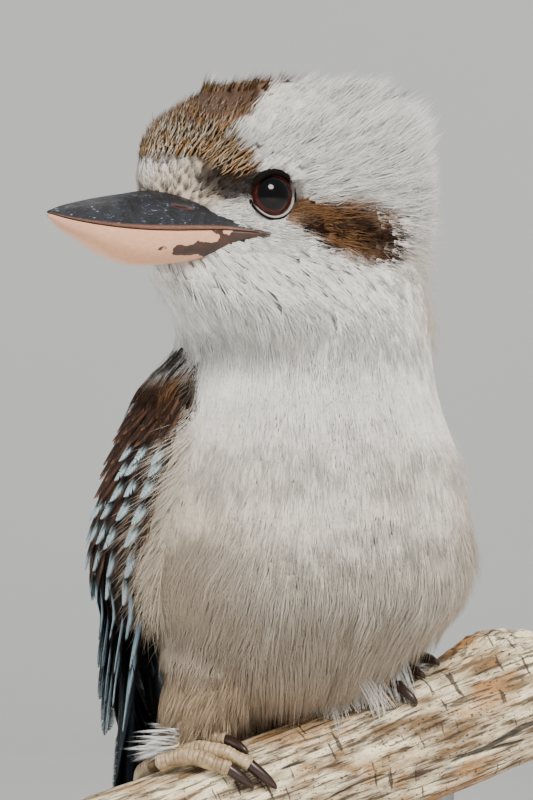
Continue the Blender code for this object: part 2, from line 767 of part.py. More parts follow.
def toe_path(start_along, start_turn, end_along, end_turn, count, over):
    points = []
    for i in range(count):
        t = i / (count - 1)
        arch = 0.0016 * math.sin(math.pi * min(1.0, 1.25 * t)) if over else 0.0
        along = start_along + (end_along - start_along) * t
        turn = start_turn + (end_turn - start_turn) * t
        points.append(perch_place(along, turn, over + arch))
    return points


def tube(path, radii, sides, by=0.0):
    """Rings round a path, each square to it, grown by a gap where the tube is a space for it."""
    path = [Vector(p) for p in path]
    path[0] -= (path[1] - path[0]).normalized() * by
    path[-1] += (path[-1] - path[-2]).normalized() * by
    rings = []
    side = None
    for i, point in enumerate(path):
        ahead = (path[min(i + 1, len(path) - 1)] - path[max(i - 1, 0)]).normalized()
        if side is None:
            side = ahead.orthogonal().normalized()
        side = (side - ahead * side.dot(ahead)).normalized()
        over = ahead.cross(side)
        far = radii[i] + by
        turns = [2 * math.pi * j / sides for j in range(sides)]
        rings.append([point + (side * math.cos(turn) + over * math.sin(turn)) * far for turn in turns])
    return rings


TOE_NARROWING = 0.18
SCUTE_DEPTH = 0.07
CLAW_RADIUS = 0.0017
CLAW_TIP = 0.00018
SHANK_RADII = (0.0042, 0.0032, 0.0030)
SHANK_RISE = 0.009
THIGH_LENGTH = 0.030
THIGH_LOW_RADIUS = 0.0075
THIGH_SWELL = 0.0100
THIGH_BACK = 0.006
THIGH_LEAN = 0.6


def toe_rings(toe, by=0.0):
    _, start_along, start_turn, end_along, end_turn, _ = toe
    count = 5 if by else 2 * TOE_SCUTES + 2
    path = toe_path(start_along, start_turn, end_along, end_turn, count, TOE_RADIUS + CLEAR)
    radii = []
    for i in range(count):
        taper = TOE_RADIUS * (1.0 - TOE_NARROWING * i / (count - 1))
        radii.append(taper * (1.0 - SCUTE_DEPTH * (i % 2) * (by == 0.0)))
    return tube(path, radii, TOE_SIDES, by)


def claw_rings(toe, by=0.0):
    _, start_along, start_turn, end_along, end_turn, length = toe
    along_run, turn_run = end_along - start_along, end_turn - start_turn
    tip_along = end_along + along_run * 0.25
    tip_turn = end_turn + math.copysign(length / PERCH_RADIUS, turn_run)
    start = perch_place(end_along - along_run * 0.05, end_turn - turn_run * 0.05, TOE_RADIUS + CLEAR)
    bent = perch_place(tip_along, tip_turn, 0.0032)
    end = perch_place(tip_along, tip_turn, CLEAR)
    path, radii = [], []
    for i in range(5):
        t = i / 4
        path.append(start * (1 - t) ** 2 + bent * 2 * t * (1 - t) + end * t**2)
        radii.append(CLAW_RADIUS * (1 - t**1.6) + CLAW_TIP)
    return tube(path, radii, 6, by)


def shank_top(leg):
    """The knuckle over the toes, and the shank's top where it enters the thigh's feathers."""
    _, left_by, ahead_by, toes = leg
    middle_along = sum(toe[1] for toe in toes[:3]) / 3
    knuckle = perch_place(middle_along, toes[1][2] - 0.1, TOE_RADIUS + CLEAR)
    top = body_place(ahead_by - THIGH_BACK, left_by, 0.0)
    top[2] = knuckle[2] + SHANK_RISE
    return knuckle, top


def shank_rings(leg, by=0.0):
    knuckle, top = shank_top(leg)
    return tube([knuckle, knuckle * 0.5 + top * 0.5, top], SHANK_RADII, 10, by)


def thigh_rings(leg, by=0.0):
    _, left_by, ahead_by, _ = leg
    _, top = shank_top(leg)
    rise = body_place(ahead_by - THIGH_BACK, left_by * THIGH_LEAN, 0.0)
    rings = []
    for i in range(7):
        t = i / 6
        height = top[2] + GAP + THIGH_LENGTH * t + by * (2 * t - 1)
        far = THIGH_LOW_RADIUS + THIGH_SWELL * math.sin(t * math.pi / 2) + by
        x, y = top[:2] * (1 - t) + rise[:2] * t
        turns = [2 * math.pi * j / 16 for j in range(16)]
        rings.append([(x + far * math.cos(turn), y + far * math.sin(turn), height) for turn in turns])
    return rings


def space(rings):
    return add_mesh("space", *loft(rings), None, HELPERS)


def foot_spaces(leg):
    return [space(shank_rings(leg, CLEAR))] + [space(toe_rings(toe, CLEAR)) for toe in leg[3]]


def leg_spaces(leg):
    """Clear room for one leg's pieces, for the torso and the wing to be cut with."""
    claws = [space(claw_rings(toe, CLEAR)) for toe in leg[3]]
    return foot_spaces(leg) + claws + [space(thigh_rings(leg, CLEAR))]


def make_leg(leg):
    """A feathered thigh, a scuted foot round the branch, and a claw on each toe."""
    side_name, _, _, toes = leg
    tuft = finish("thigh_" + side_name, (0.72, 0.66, 0.56), 0.9)
    scuted = finish("foot_" + side_name, (0.55, 0.4, 0.16), 0.5)
    dark = finish("claws_" + side_name, (0.06, 0.05, 0.05), 0.3)
    foot = add_mesh("foot_" + side_name, *loft(shank_rings(leg)), scuted)
    combine(foot, [add_mesh("toe", *loft(toe_rings(toe)), None, HELPERS) for toe in toes], "UNION")
    combine(foot, [perch_space()], "DIFFERENCE", FAST)
    for toe in toes:
        claw = add_mesh(f"claw_{side_name}_{toe[0]}", *loft(claw_rings(toe)), dark)
        combine(claw, [*foot_spaces(leg), perch_space()], "DIFFERENCE", FAST)
    thigh = add_mesh("thigh_" + side_name, *loft(thigh_rings(leg)), tuft)
    combine(thigh, [*foot_spaces(leg), perch_space()], "DIFFERENCE", FAST)


clear_scene()
make_stand(make_perch())
make_bill()
make_head()
for one_leg in FEET:
    make_leg(one_leg)
make_trunk(leg_spaces(FEET[0]) + leg_spaces(FEET[1]))
make_tail()
make_wing(1, "wing_left", [space(thigh_rings(FEET[1], CLEAR))])
make_wing(-1, "wing_right", [space(thigh_rings(FEET[0], CLEAR))])
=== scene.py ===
"""Laughing kookaburra, life size, on a cut length of weathered branch over a plain stand."""

import math

import bpy
import numpy as np
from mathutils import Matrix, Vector


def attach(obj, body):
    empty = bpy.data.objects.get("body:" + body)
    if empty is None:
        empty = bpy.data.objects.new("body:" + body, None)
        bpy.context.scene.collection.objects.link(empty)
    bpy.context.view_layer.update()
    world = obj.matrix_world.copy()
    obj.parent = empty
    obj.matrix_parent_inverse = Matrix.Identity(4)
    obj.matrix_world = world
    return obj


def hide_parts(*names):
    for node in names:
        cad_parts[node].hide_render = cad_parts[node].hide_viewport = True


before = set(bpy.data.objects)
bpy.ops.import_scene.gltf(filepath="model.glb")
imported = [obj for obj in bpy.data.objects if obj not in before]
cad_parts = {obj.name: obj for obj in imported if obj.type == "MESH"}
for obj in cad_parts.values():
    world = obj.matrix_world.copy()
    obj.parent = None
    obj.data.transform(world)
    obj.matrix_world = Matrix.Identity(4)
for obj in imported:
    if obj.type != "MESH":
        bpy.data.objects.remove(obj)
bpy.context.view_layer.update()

# Studio
# A pale sweep of card, flat under the stand and curved up behind it, with a big soft lamp high on
# the left, a weaker one on the right and a level long-lens camera at the height of the bird.
PHOTO_HEIGHT = 800
LEVEL = 0.142
METRES_PER_PIXEL = 0.000303
VIEW_DISTANCE = 2.2
SENSOR = 24.0
CARD_HALF_WIDTH = 4.0
CARD_FRONT = -3.4
CARD_BEND = 3.4
CARD_RADIUS = 0.8
CARD_TOP = 3.6
CARD_STEPS = 12
AIR_COLOUR = (0.90, 0.95, 1.0, 1.0)
AIR_STRENGTH = 0.56


def linear(red, green, blue):
    """A colour as a painter names it on screen, turned into the light that a finish reflects."""
    return tuple(c / 12.92 if c <= 0.04045 else ((c + 0.055) / 1.055) ** 2.4 for c in (red, green, blue))


class Wire:
    """A value inside a finish; arithmetic on it adds the nodes that work it out."""

    def __init__(self, finish, socket):
        self.finish = finish
        self.socket = socket

    def maths(self, operation, *values):
        return self.finish.node("ShaderNodeMath", {"operation": operation}, dict(enumerate(values)))

    def __add__(self, other):
        return self.maths("ADD", self, other)

    def __sub__(self, other):
        return self.maths("SUBTRACT", self, other)

    def __rsub__(self, other):
        return self.maths("SUBTRACT", other, self)

    def __mul__(self, other):
        return self.maths("MULTIPLY", self, other)

    def above(self, edge, soft):
        """0 under the edge and 1 over it, with a smooth step as wide as soft."""
        limits = {0: self, 1: edge - soft / 2, 2: edge + soft / 2, 3: 0.0, 4: 1.0}
        return self.finish.node("ShaderNodeMapRange", {"interpolation_type": "SMOOTHSTEP"}, limits)

    __radd__ = __add__
    __rmul__ = __mul__


class Finish:
    """One material: fixed values on the shader, and nodes for what changes over the surface."""

    def __init__(self, name, **fixed):
        self.material = bpy.data.materials.new(name)
        self.material.use_nodes = True
        self.tree = self.material.node_tree
        self.shader = self.tree.nodes["Principled BSDF"]
        for socket, value in fixed.items():
            self.shader.inputs[socket.replace("_", " ").title().replace("Ior", "IOR")].default_value = value

    def node(self, kind, settings, sockets, out=0):
        made = self.tree.nodes.new(kind)
        for name, value in settings.items():
            setattr(made, name, value)
        for key, value in sockets.items():
            if isinstance(value, Wire):
                self.tree.links.new(value.socket, made.inputs[key])
            elif isinstance(value, tuple) and len(value) == 3 and made.inputs[key].type == "RGBA":
                made.inputs[key].default_value = (*value, 1.0)
            else:
                made.inputs[key].default_value = value
        return Wire(self, made.outputs[out])

    def place(self):
        return self.node("ShaderNodeTexCoord", {}, {}, "Object")

    def stored(self, name, out="Color"):
        return self.node("ShaderNodeAttribute", {"attribute_name": name}, {}, out)

    def stretched(self, vector, scale):
        return self.node("ShaderNodeMapping", {}, {"Vector": vector, "Scale": scale})

    def noise(self, vector, scale, detail=4.0, roughness=0.5):
        sockets = {"Vector": vector, "Scale": scale, "Detail": detail, "Roughness": roughness}
        return self.node("ShaderNodeTexNoise", {}, sockets)

    def mix(self, factor, first, second, blend="MIX"):
        settings = {"data_type": "RGBA", "blend_type": blend}
        return self.node("ShaderNodeMix", settings, {0: factor, 6: first, 7: second}, 2)

    def layers(self, colour, *covers):
        """A colour with others laid over it in turn, each by its own share."""
        for share, cover in covers:
            colour = self.mix(share, colour, cover)
        return colour

    def part(self, vector, axis):
        """One of a vector's three numbers."""
        return self.node("ShaderNodeSeparateXYZ", {}, {0: vector}, axis)

    def feed(self, socket, wire):
        self.tree.links.new(wire.socket, self.shader.inputs[socket])

    def bump(self, height, strength, distance):
        sockets = {"Height": height, "Strength": strength, "Distance": distance}
        self.feed("Normal", self.node("ShaderNodeBump", {}, sockets))


def mesh_piece(name, points, triangles, finish, slot=None, replaces=(), uv=None, stored=None):
    """A mesh object from arrays of points and triangles, set in its finish, on the frame."""
    mesh = bpy.data.meshes.new(name)
    points = np.asarray(points, np.float32).reshape(-1, 3)
    triangles = np.asarray(triangles, np.int32).reshape(-1, 3)
    mesh.vertices.add(len(points))
    mesh.vertices.foreach_set("co", points.ravel())
    mesh.loops.add(triangles.size)
    mesh.loops.foreach_set("vertex_index", triangles.ravel())
    mesh.polygons.add(len(triangles))
    mesh.polygons.foreach_set("loop_start", np.arange(0, triangles.size, 3, dtype=np.int32))
    mesh.update(calc_edges=True)
    if uv is not None:
        layer = mesh.uv_layers.new(name="OFBake")
        layer.data.foreach_set("uv", np.asarray(uv, np.float32)[triangles.ravel()].ravel())
    for key, values in (stored or {}).items():
        values = np.asarray(values, np.float32)
        if values.ndim == 1:
            values = np.repeat(values[:, None], 3, axis=1)
        values = np.concatenate((values, np.ones((len(values), 1), np.float32)), axis=1)
        layer = mesh.color_attributes.new(name=key, type="FLOAT_COLOR", domain="POINT")
        layer.data.foreach_set("color", values.ravel())
    mesh.shade_smooth()
    mesh.materials.append(finish.material)
    piece = bpy.data.objects.new(name, mesh)
    bpy.context.scene.collection.objects.link(piece)
    if slot:
        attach(piece, "root")
    if replaces:
        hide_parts(*replaces)
    return piece


def grid_triangles(rows, columns, closed_round=False):
    """Triangles of a grid of rows by columns, joined round its columns where it is closed."""
    last = columns if closed_round else columns - 1
    row, column = np.meshgrid(np.arange(rows - 1), np.arange(last), indexing="ij")
    a = (row * columns + column).ravel()
    b = (row * columns + (column + 1) % columns).ravel()
    first = np.stack((a, b, b + columns), axis=1)
    second = np.stack((a, b + columns, a + columns), axis=1)
    return np.concatenate((first, second))


card_line = [(CARD_FRONT, 0.0), (CARD_BEND, 0.0)]
for step in range(1, CARD_STEPS + 1):
    turn = math.pi / 2 * step / CARD_STEPS
    card_line.append((CARD_BEND + CARD_RADIUS * math.sin(turn), CARD_RADIUS * (1 - math.cos(turn))))
card_line.append((CARD_BEND + CARD_RADIUS, CARD_TOP))
card_points = [(x, y, z) for y, z in card_line for x in (-CARD_HALF_WIDTH, CARD_HALF_WIDTH)]
card_finish = Finish("pale_card", roughness=0.9)
card_tone = card_finish.noise(card_finish.place(), 3.0, 2.0)
card_colour = card_finish.mix(card_tone, linear(0.94, 0.93, 0.915), linear(0.97, 0.96, 0.945))
card_finish.feed("Base Color", card_colour)
card = mesh_piece("card_sweep", card_points, grid_triangles(len(card_line), 2), card_finish)

world = bpy.data.worlds.new("studio_air")
world.use_nodes = True
air = world.node_tree.nodes["Background"].inputs
air["Color"].default_value = AIR_COLOUR
air["Strength"].default_value = AIR_STRENGTH
bpy.context.scene.world = world

LAMPS = (
    ("key_lamp", (0.50, -1.35, 1.50), 0.7, 66.0, (1.0, 0.965, 0.91)),
    ("fill_lamp", (-1.7, -0.6, 0.9), 1.4, 12.0, (0.92, 0.96, 1.0)),
    ("back_lamp", (0.6, 1.0, 1.2), 0.6, 14.0, (1.0, 0.98, 0.95)),
)
LAMP_AIM = Vector((0.0, 0.0, 0.24))
for lamp_name, lamp_place, lamp_size, lamp_power, lamp_colour in LAMPS:
    light = bpy.data.lights.new(lamp_name, "AREA")
    light.shape = "DISK"
    light.size = lamp_size
    light.energy = lamp_power
    light.color = lamp_colour
    lamp = bpy.data.objects.new(lamp_name, light)
    lamp.location = lamp_place
    lamp.rotation_euler = (LAMP_AIM - Vector(lamp_place)).to_track_quat("-Z", "Y").to_euler()
    bpy.context.scene.collection.objects.link(lamp)

view_height = LEVEL + PHOTO_HEIGHT * METRES_PER_PIXEL / 2
lens = bpy.data.cameras.new("long_lens")
lens.sensor_fit = "VERTICAL"
lens.sensor_height = SENSOR
lens.lens = SENSOR * VIEW_DISTANCE / (PHOTO_HEIGHT * METRES_PER_PIXEL)
lens.clip_end = 20.0
camera = bpy.data.objects.new("camera", lens)
camera.location = (0.0, -VIEW_DISTANCE, view_height)
camera.rotation_euler = (math.pi / 2, 0.0, 0.0)
bpy.context.scene.collection.objects.link(camera)
bpy.context.scene.camera = camera

# Stand
# A turned disc of dark stained wood with a waxed surface, and two brushed steel rods let into the
# underside of the branch.
STAIN_DARK = linear(0.13, 0.09, 0.07)
STAIN_LIGHT = linear(0.24, 0.17, 0.13)
STEEL = linear(0.66, 0.66, 0.67)

wood = Finish("stained_wood", coat_weight=0.3, coat_roughness=0.25)
ring_place = wood.stretched(wood.place(), (1.0, 9.0, 1.0))
ring_tone = wood.noise(ring_place, 22.0, 8.0, 0.65)
wood.feed("Base Color", wood.mix(ring_tone.above(0.5, 0.5), STAIN_DARK, STAIN_LIGHT))
wood.feed("Roughness", ring_tone * 0.25 + 0.32)
wood.bump(ring_tone, 0.25, 0.0004)

steel = Finish("brushed_steel", metallic=1.0)
brush = steel.noise(steel.stretched(steel.place(), (1.0, 1.0, 60.0)), 120.0, 2.0)
steel.feed("Base Color", steel.mix(brush, STEEL, linear(0.52, 0.52, 0.54)))
steel.feed("Roughness", brush * 0.2 + 0.25)
steel.bump(brush, 0.15, 0.0001)

for node_name, node_finish in (("stand_base", wood), ("stand_rod_1", steel), ("stand_rod_2", steel)):
    stand_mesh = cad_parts[node_name].data
    stand_mesh.materials.clear()
    stand_mesh.materials.append(node_finish.material)

# Branch
# A cut length of old, barkless branch that rises to the bird's left: tan and cream wood with worn
# orange patches, long drying cracks along its grain and a broken knob near its high end.
PERCH_MIDDLE = np.array((0.0122, -0.0054, 0.0060 + LEVEL))
PERCH_TURN = math.radians(20.0)
PERCH_RISE = 0.36
PERCH_LEFT = -0.072
PERCH_RIGHT = 0.083
PERCH_RADIUS = 0.0183
BRANCH_ROUND = 220
BRANCH_ALONG = 240
RIDGES = 26
CRACKS = 34
CRACK_END = 0.004
CRACK_DEPTH = 0.0007
KNOB_ALONG = 0.068
KNOB_TURN = -0.1


def perch_axes():
    """Unit vectors along the branch, square to it on its upper side, and to its front."""
    flat = np.array((math.cos(PERCH_TURN), math.sin(PERCH_TURN), 0.0))
    along = flat + np.array((0, 0, PERCH_RISE * math.cos(PERCH_TURN)))
    along /= np.linalg.norm(along)
    front = np.array((math.sin(PERCH_TURN), -math.cos(PERCH_TURN), 0.0))
    up = np.cross(front, along)
    return along, up / np.linalg.norm(up), front


def spokes(turn, across, up):
    """Directions square to an axis, at turns round it from one that is across it to one that is up."""
    return np.multiply.outer(np.cos(turn), across) + np.multiply.outer(np.sin(turn), up)


def perch_radius(along, turn):
    """The worn radius: long ridges, a swelling and a broken knob near the high end."""
    ridges = 0.00035 * np.sin(5 * turn + 40 * along) + 0.0003 * np.sin(9 * turn - 60 * along)
    knob = 0.0050 * bump_at(along, KNOB_ALONG, 0.012) * bump_at(turn, KNOB_TURN, 0.7)
    return PERCH_RADIUS + ridges + 0.0012 * bump_at(along, 0.042, 0.02) + knob


def perch_place(along_by, turn, over):
    """Places over the branch's surface: along it, round it from its top to the front, above it."""
    along, up, front = perch_axes()
    far = np.asarray(perch_radius(along_by, turn) + over)[..., None]
    return PERCH_MIDDLE + np.multiply.outer(along_by, along) + spokes(turn, up, front) * far


def smooth_step(value, low, high):
    t = np.clip((value - low) / (high - low), 0.0, 1.0)
    return t * t * (3 - 2 * t)


def bump_at(value, middle, width):
    """A rounded rise to 1 where a value is near the middle."""
    return np.exp(-(((value - middle) / width) ** 2))


def closed_loft(rings, ends=None):
    """Points and triangles of rings joined one to the next, with a fan of triangles at each end."""
    rings = np.asarray(rings)
    count, columns = rings.shape[:2]
    around, beside = np.arange(columns), (np.arange(columns) + 1) % columns
    first = count * columns
    near = np.stack((np.full(columns, first), beside, around), axis=1)
    far = np.stack((np.full(columns, first + 1), first - columns + around, first - columns + beside), axis=1)
    if ends is None:
        ends = [rings[0].mean(axis=0), rings[-1].mean(axis=0)]
    points = np.concatenate((rings.reshape(-1, 3), ends))
    return points, np.concatenate((grid_triangles(count, columns, True), near, far))


bark_draw = np.random.default_rng(11)
branch_along, branch_turn = np.meshgrid(
    np.linspace(PERCH_LEFT, PERCH_RIGHT, BRANCH_ALONG),
    np.linspace(-math.pi, math.pi, BRANCH_ROUND, endpoint=False),
    indexing="ij",
)
relief = np.zeros_like(branch_along)
for wave in range(RIDGES):
    beats = int(bark_draw.integers(12, 46))
    sway = bark_draw.uniform(-30, 30)
    relief += bark_draw.uniform(0.00002, 0.00007) * np.sin(
        beats * branch_turn + sway * branch_along + bark_draw.uniform(0, 6.28)
        + 0.6 * np.sin(bark_draw.uniform(40, 110) * branch_along + bark_draw.uniform(0, 6.28))
    )
cracked = np.zeros_like(branch_along)
for crack in range(CRACKS):
    crack_turn = bark_draw.uniform(-math.pi, math.pi)
    crack_start = bark_draw.uniform(PERCH_LEFT, PERCH_RIGHT)
    crack_length = bark_draw.uniform(0.008, 0.035)
    crack_width = bark_draw.uniform(0.022, 0.05)
    drift = crack_turn + 0.05 * np.sin(160 * branch_along + crack)
    drift = drift + bark_draw.uniform(-2, 2) * (branch_along - crack_start)
    across = (branch_turn - drift + math.pi) % (2 * math.pi) - math.pi
    ends = smooth_step(branch_along, crack_start, crack_start + CRACK_END)
    ends *= 1 - smooth_step(branch_along, crack_start + crack_length - CRACK_END, crack_start + crack_length)
    cracked = np.maximum(cracked, ends * bump_at(across, 0.0, crack_width))
worn_knob = bump_at(branch_along, KNOB_ALONG, 0.014) * bump_at(branch_turn, KNOB_TURN, 0.8)
relief += worn_knob * 0.0008 * np.sin(branch_turn * 23) * np.sin(branch_along * 900)
relief -= cracked * CRACK_DEPTH
rim = 1 - smooth_step(np.abs(branch_along - (PERCH_LEFT + PERCH_RIGHT) / 2), 0.0765, 0.0776)
branch_rings = perch_place(branch_along, branch_turn, relief - CRACK_DEPTH * (1 - rim))
branch_points, branch_triangles = closed_loft(
    branch_rings, [PERCH_MIDDLE + perch_axes()[0] * end for end in (PERCH_LEFT, PERCH_RIGHT)]
)
thickness = perch_radius(branch_along, branch_turn)
branch_grain = np.stack(
    (branch_along, np.cos(branch_turn) * thickness, np.sin(branch_turn) * thickness), axis=-1
)
branch_grain = np.concatenate((branch_grain.reshape(-1, 3), ((PERCH_LEFT, 0, 0), (PERCH_RIGHT, 0, 0))))

weathered = Finish("weathered_wood")
grain_place = weathered.stored("grain", "Vector")
long_grain = weathered.noise(weathered.stretched(grain_place, (0.10, 1.0, 1.0)), 900.0, 6.0, 0.6)
broad_grain = weathered.noise(weathered.stretched(grain_place, (0.25, 1.0, 1.0)), 170.0, 5.0, 0.6)
patches = weathered.noise(weathered.stretched(grain_place, (0.6, 1.0, 1.0)), 62.0, 5.0, 0.6)
flecks = weathered.noise(weathered.stretched(grain_place, (0.5, 1.0, 1.0)), 1500.0, 2.0)
across_cracks = weathered.noise(weathered.stretched(grain_place, (1.0, 0.14, 0.14)), 420.0, 3.0, 0.6)
weathered.feed("Base Color", weathered.layers(
    weathered.mix(broad_grain.above(0.5, 0.24), linear(0.44, 0.34, 0.22), linear(0.93, 0.87, 0.73)),
    (patches.above(0.55, 0.12) * 0.7, linear(0.66, 0.47, 0.25)),
    (long_grain.above(0.55, 0.10) * 0.85, linear(0.20, 0.14, 0.09)),
    (across_cracks.above(0.64, 0.04) * 0.85, linear(0.14, 0.09, 0.06)),
    (flecks.above(0.64, 0.06) * 0.85, linear(0.12, 0.08, 0.06)),
    (weathered.stored("crack", "Fac").above(0.5, 0.5) * 0.9, linear(0.10, 0.07, 0.05)),
))
weathered.feed("Roughness", long_grain * 0.2 + 0.68)
weathered.bump(long_grain + flecks * 0.3 + broad_grain, 0.9, 0.0009)
mesh_piece(
    "branch", branch_points, branch_triangles[:, ::-1], weathered, slot="perch_wood", replaces=("perch",),
    stored={"grain": branch_grain, "crack": np.append(cracked, (0.0, 0.0))},
)

# Body form
# The bird's flesh: one smooth form from the vent to the crown, wide at the breast, drawn in at the
# neck and turned to the bird's right at the head. All feathers are rooted in it.
BODY_AXIS = np.array((0.0097, 0.0))
BODY_HEADING = math.radians(-65.0)
HEAD_ORIGIN = np.array((-0.0127, -0.027))
HEAD_HEADING = math.radians(-131.0)
EYE_HEIGHT = 0.1824
BACK_POWER = 2.2

# Height over LEVEL, turn from the body's heading to the head's, middle along the heading, reach
# ahead, reach behind, half width, nose power
SECTIONS = (
    (0.009, 0.0, -0.0310, 0.003, 0.003, 0.0035, 2.0),
    (0.012, 0.0, -0.0310, 0.007, 0.007, 0.0080, 2.0),
    (0.020, 0.0, -0.0300, 0.013, 0.014, 0.0180, 2.0),
    (0.028, 0.0, -0.0220, 0.023, 0.026, 0.0240, 2.0),
    (0.036, 0.0, -0.0160, 0.031, 0.034, 0.0295, 2.0),
    (0.045, 0.0, -0.0100, 0.041, 0.045, 0.0365, 2.1),
    (0.061, 0.0, -0.0030, 0.053, 0.052, 0.0480, 2.1),
    (0.079, 0.0, -0.0005, 0.053, 0.053, 0.0515, 2.1),
    (0.091, 0.0, 0.0000, 0.051, 0.051, 0.0498, 2.1),
    (0.106, 0.0, 0.0005, 0.048, 0.048, 0.0465, 2.1),
    (0.120, 0.0, 0.0005, 0.044, 0.044, 0.0420, 2.0),
    (0.134, 0.25, 0.0000, 0.042, 0.039, 0.0392, 2.0),
    (0.148, 0.75, -0.0380, 0.053, 0.034, 0.0380, 1.9),
    (0.1584, 1.0, -0.0380, 0.063, 0.031, 0.0372, 1.6),
    (0.1684, 1.0, -0.0400, 0.070, 0.029, 0.0372, 1.5),
    (0.1784, 1.0, -0.0420, 0.076, 0.027, 0.0372, 1.4),
    (0.1884, 1.0, -0.0420, 0.077, 0.0265, 0.0372, 1.45),
    (0.1968, 1.0, -0.0420, 0.074, 0.0255, 0.0362, 1.6),
    (0.2052, 1.0, -0.0420, 0.065, 0.0225, 0.0325, 1.8),
    (0.2115, 1.0, -0.0410, 0.051, 0.0190, 0.0250, 1.9),
    (0.2160, 1.0, -0.0390, 0.034, 0.013, 0.0160, 2.0),
    (0.2175, 1.0, -0.0380, 0.014, 0.007, 0.0080, 2.0),
)


def heading_pair(heading):
    ahead = np.array((math.cos(heading), math.sin(heading)))
    return ahead, np.array((-ahead[1], ahead[0]))


def body_place(ahead_by, left_by, height):
    """World place given along the body's heading, to its left, and over LEVEL."""
    ahead, left = heading_pair(BODY_HEADING)
    x, y = BODY_AXIS + ahead * ahead_by + left * left_by
    return np.array((x, y, height + LEVEL))


def head_place(ahead_by, left_by, over_eye):
    """World place given along the head's heading, to its left, and over the eyes."""
    ahead, left = heading_pair(HEAD_HEADING)
    x, y = HEAD_ORIGIN + ahead * ahead_by + left * left_by
    return np.array((x, y, over_eye + EYE_HEIGHT + LEVEL))


def to_local(points, origin, heading):
    """Ahead, left and height over LEVEL of world points, from an upright axis with a heading."""
    ahead, left = heading_pair(heading)
    flat = points[..., :2] - origin
    return flat @ ahead, flat @ left, points[..., 2] - LEVEL


def section_table():
    body_ahead, _ = heading_pair(BODY_HEADING)
    head_ahead, _ = heading_pair(HEAD_HEADING)
    rows = []
    for height, turned, middle, front, back, half, power in SECTIONS:
        on_body = BODY_AXIS + body_ahead * (middle if turned < 0.5 else 0.0)
        on_head = HEAD_ORIGIN + head_ahead * (middle if turned > 0.5 else -0.040)
        place = on_body * (1.0 - turned) + on_head * turned
        heading = BODY_HEADING + (HEAD_HEADING - BODY_HEADING) * turned
        rows.append((height, place[0], place[1], heading, front, back, half, power))
    return np.array(rows)


TABLE = section_table()
SLOPES = np.gradient(TABLE[:, 1:], TABLE[:, 0], axis=0)


def cubic(steps, values, slopes, at):
    """Values at any places along a table, on the smooth cubic through its rows."""
    i = np.clip(np.searchsorted(steps, at) - 1, 0, len(steps) - 2)
    span = (steps[i + 1] - steps[i])[..., None]
    t = (at - steps[i])[..., None] / span
    start = (2 * t**3 - 3 * t**2 + 1) * values[i] + (t**3 - 2 * t**2 + t) * span * slopes[i]
    return start + (3 * t**2 - 2 * t**3) * values[i + 1] + (t**3 - t**2) * span * slopes[i + 1]


def section_at(height):
    """Middle, heading, reaches, half width and power at each height."""
    return np.moveaxis(cubic(TABLE[:, 0], TABLE[:, 1:], SLOPES, np.asarray(height, float)), -1, 0)


def axis_at(height):
    return np.moveaxis(section_at(height)[:2], 0, -1)


def skin_place(azimuth, height, lift=0.0):
    """Places on the body at world azimuths and heights over LEVEL, lifted off its surface."""
    x, y, heading, front, back, half, power = section_at(height)
    along, across = np.cos(azimuth - heading), np.sin(azimuth - heading)
    n = np.where(along > 0, power, BACK_POWER)
    far = np.where(along > 0, front, back)
    r = (np.abs(along / far) ** n + np.abs(across / half) ** n) ** (-1.0 / n) + lift
    return np.stack((x + r * np.cos(azimuth), y + r * np.sin(azimuth), height + LEVEL + 0 * r), axis=-1)


def skin_reach(azimuth, height):
    """How far the skin is from the form's middle at its height."""
    return np.linalg.norm(skin_place(azimuth, height)[..., :2] - axis_at(height), axis=-1)


def unit(vectors):
    return vectors / np.maximum(np.linalg.norm(vectors, axis=-1, keepdims=True), 1e-12)


def laid_flat(vectors, normals):
    """Vectors turned square to normals, at unit length."""
    return unit(vectors - normals * (vectors * normals).sum(axis=-1, keepdims=True))


def skin_normal(azimuth, height):
    around = skin_place(azimuth + 0.02, height) - skin_place(azimuth - 0.02, height)
    low = np.maximum(height - 0.0006, SECTIONS[0][0])
    high = np.minimum(height + 0.0006, SECTIONS[-1][0])
    return unit(np.cross(around, skin_place(azimuth, high) - skin_place(azimuth, low)))


WING_ROWS = (
    (0.1290, 86.0, 112.0, 0.0010),
    (0.1240, 80.0, 128.0, 0.0030),
    (0.1080, 76.0, 150.0, 0.0050),
    (0.0930, 79.0, 158.0, 0.0062),
    (0.0780, 84.0, 163.0, 0.0068),
    (0.0695, 87.0, 164.5, 0.0072),
    (0.0610, 90.0, 166.0, 0.0075),
    (0.0486, 96.0, 168.0, 0.0072),
    (0.0380, 102.0, 168.0, 0.0045),
)
LEFT_TUCK = 15.0


def wing_row(height, on_left):
    """Where a wing begins and ends round the body at a height, and how thick it is there."""
    rising = np.array(WING_ROWS)[::-1]
    front, back, thick = (np.interp(height, rising[:, 0], rising[:, column]) for column in (1, 2, 3))
    return front + LEFT_TUCK * on_left, back, thick


WHITE = linear(0.97, 0.965, 0.95)
CREAM = linear(0.92, 0.87, 0.78)
BREAST_GREY = linear(0.91, 0.89, 0.86)
BELLY_BUFF = linear(0.80, 0.72, 0.61)
PAINTED_BELLY_SHADOW = linear(0.66, 0.61, 0.53)
THIGH_BUFF = linear(0.80, 0.71, 0.60)
TAWNY = linear(0.55, 0.40, 0.27)
CROWN_BROWN = linear(0.34, 0.24, 0.17)
CROWN_DARK = linear(0.13, 0.085, 0.065)
CROWN_TAN = linear(0.78, 0.61, 0.41)
MASK_BROWN = linear(0.23, 0.165, 0.125)
LORE_BUFF = linear(0.86, 0.79, 0.69)
MANTLE_BROWN = linear(0.24, 0.18, 0.14)
EYE_SPOT = np.array((0.0030, 0.0230, -0.0005))

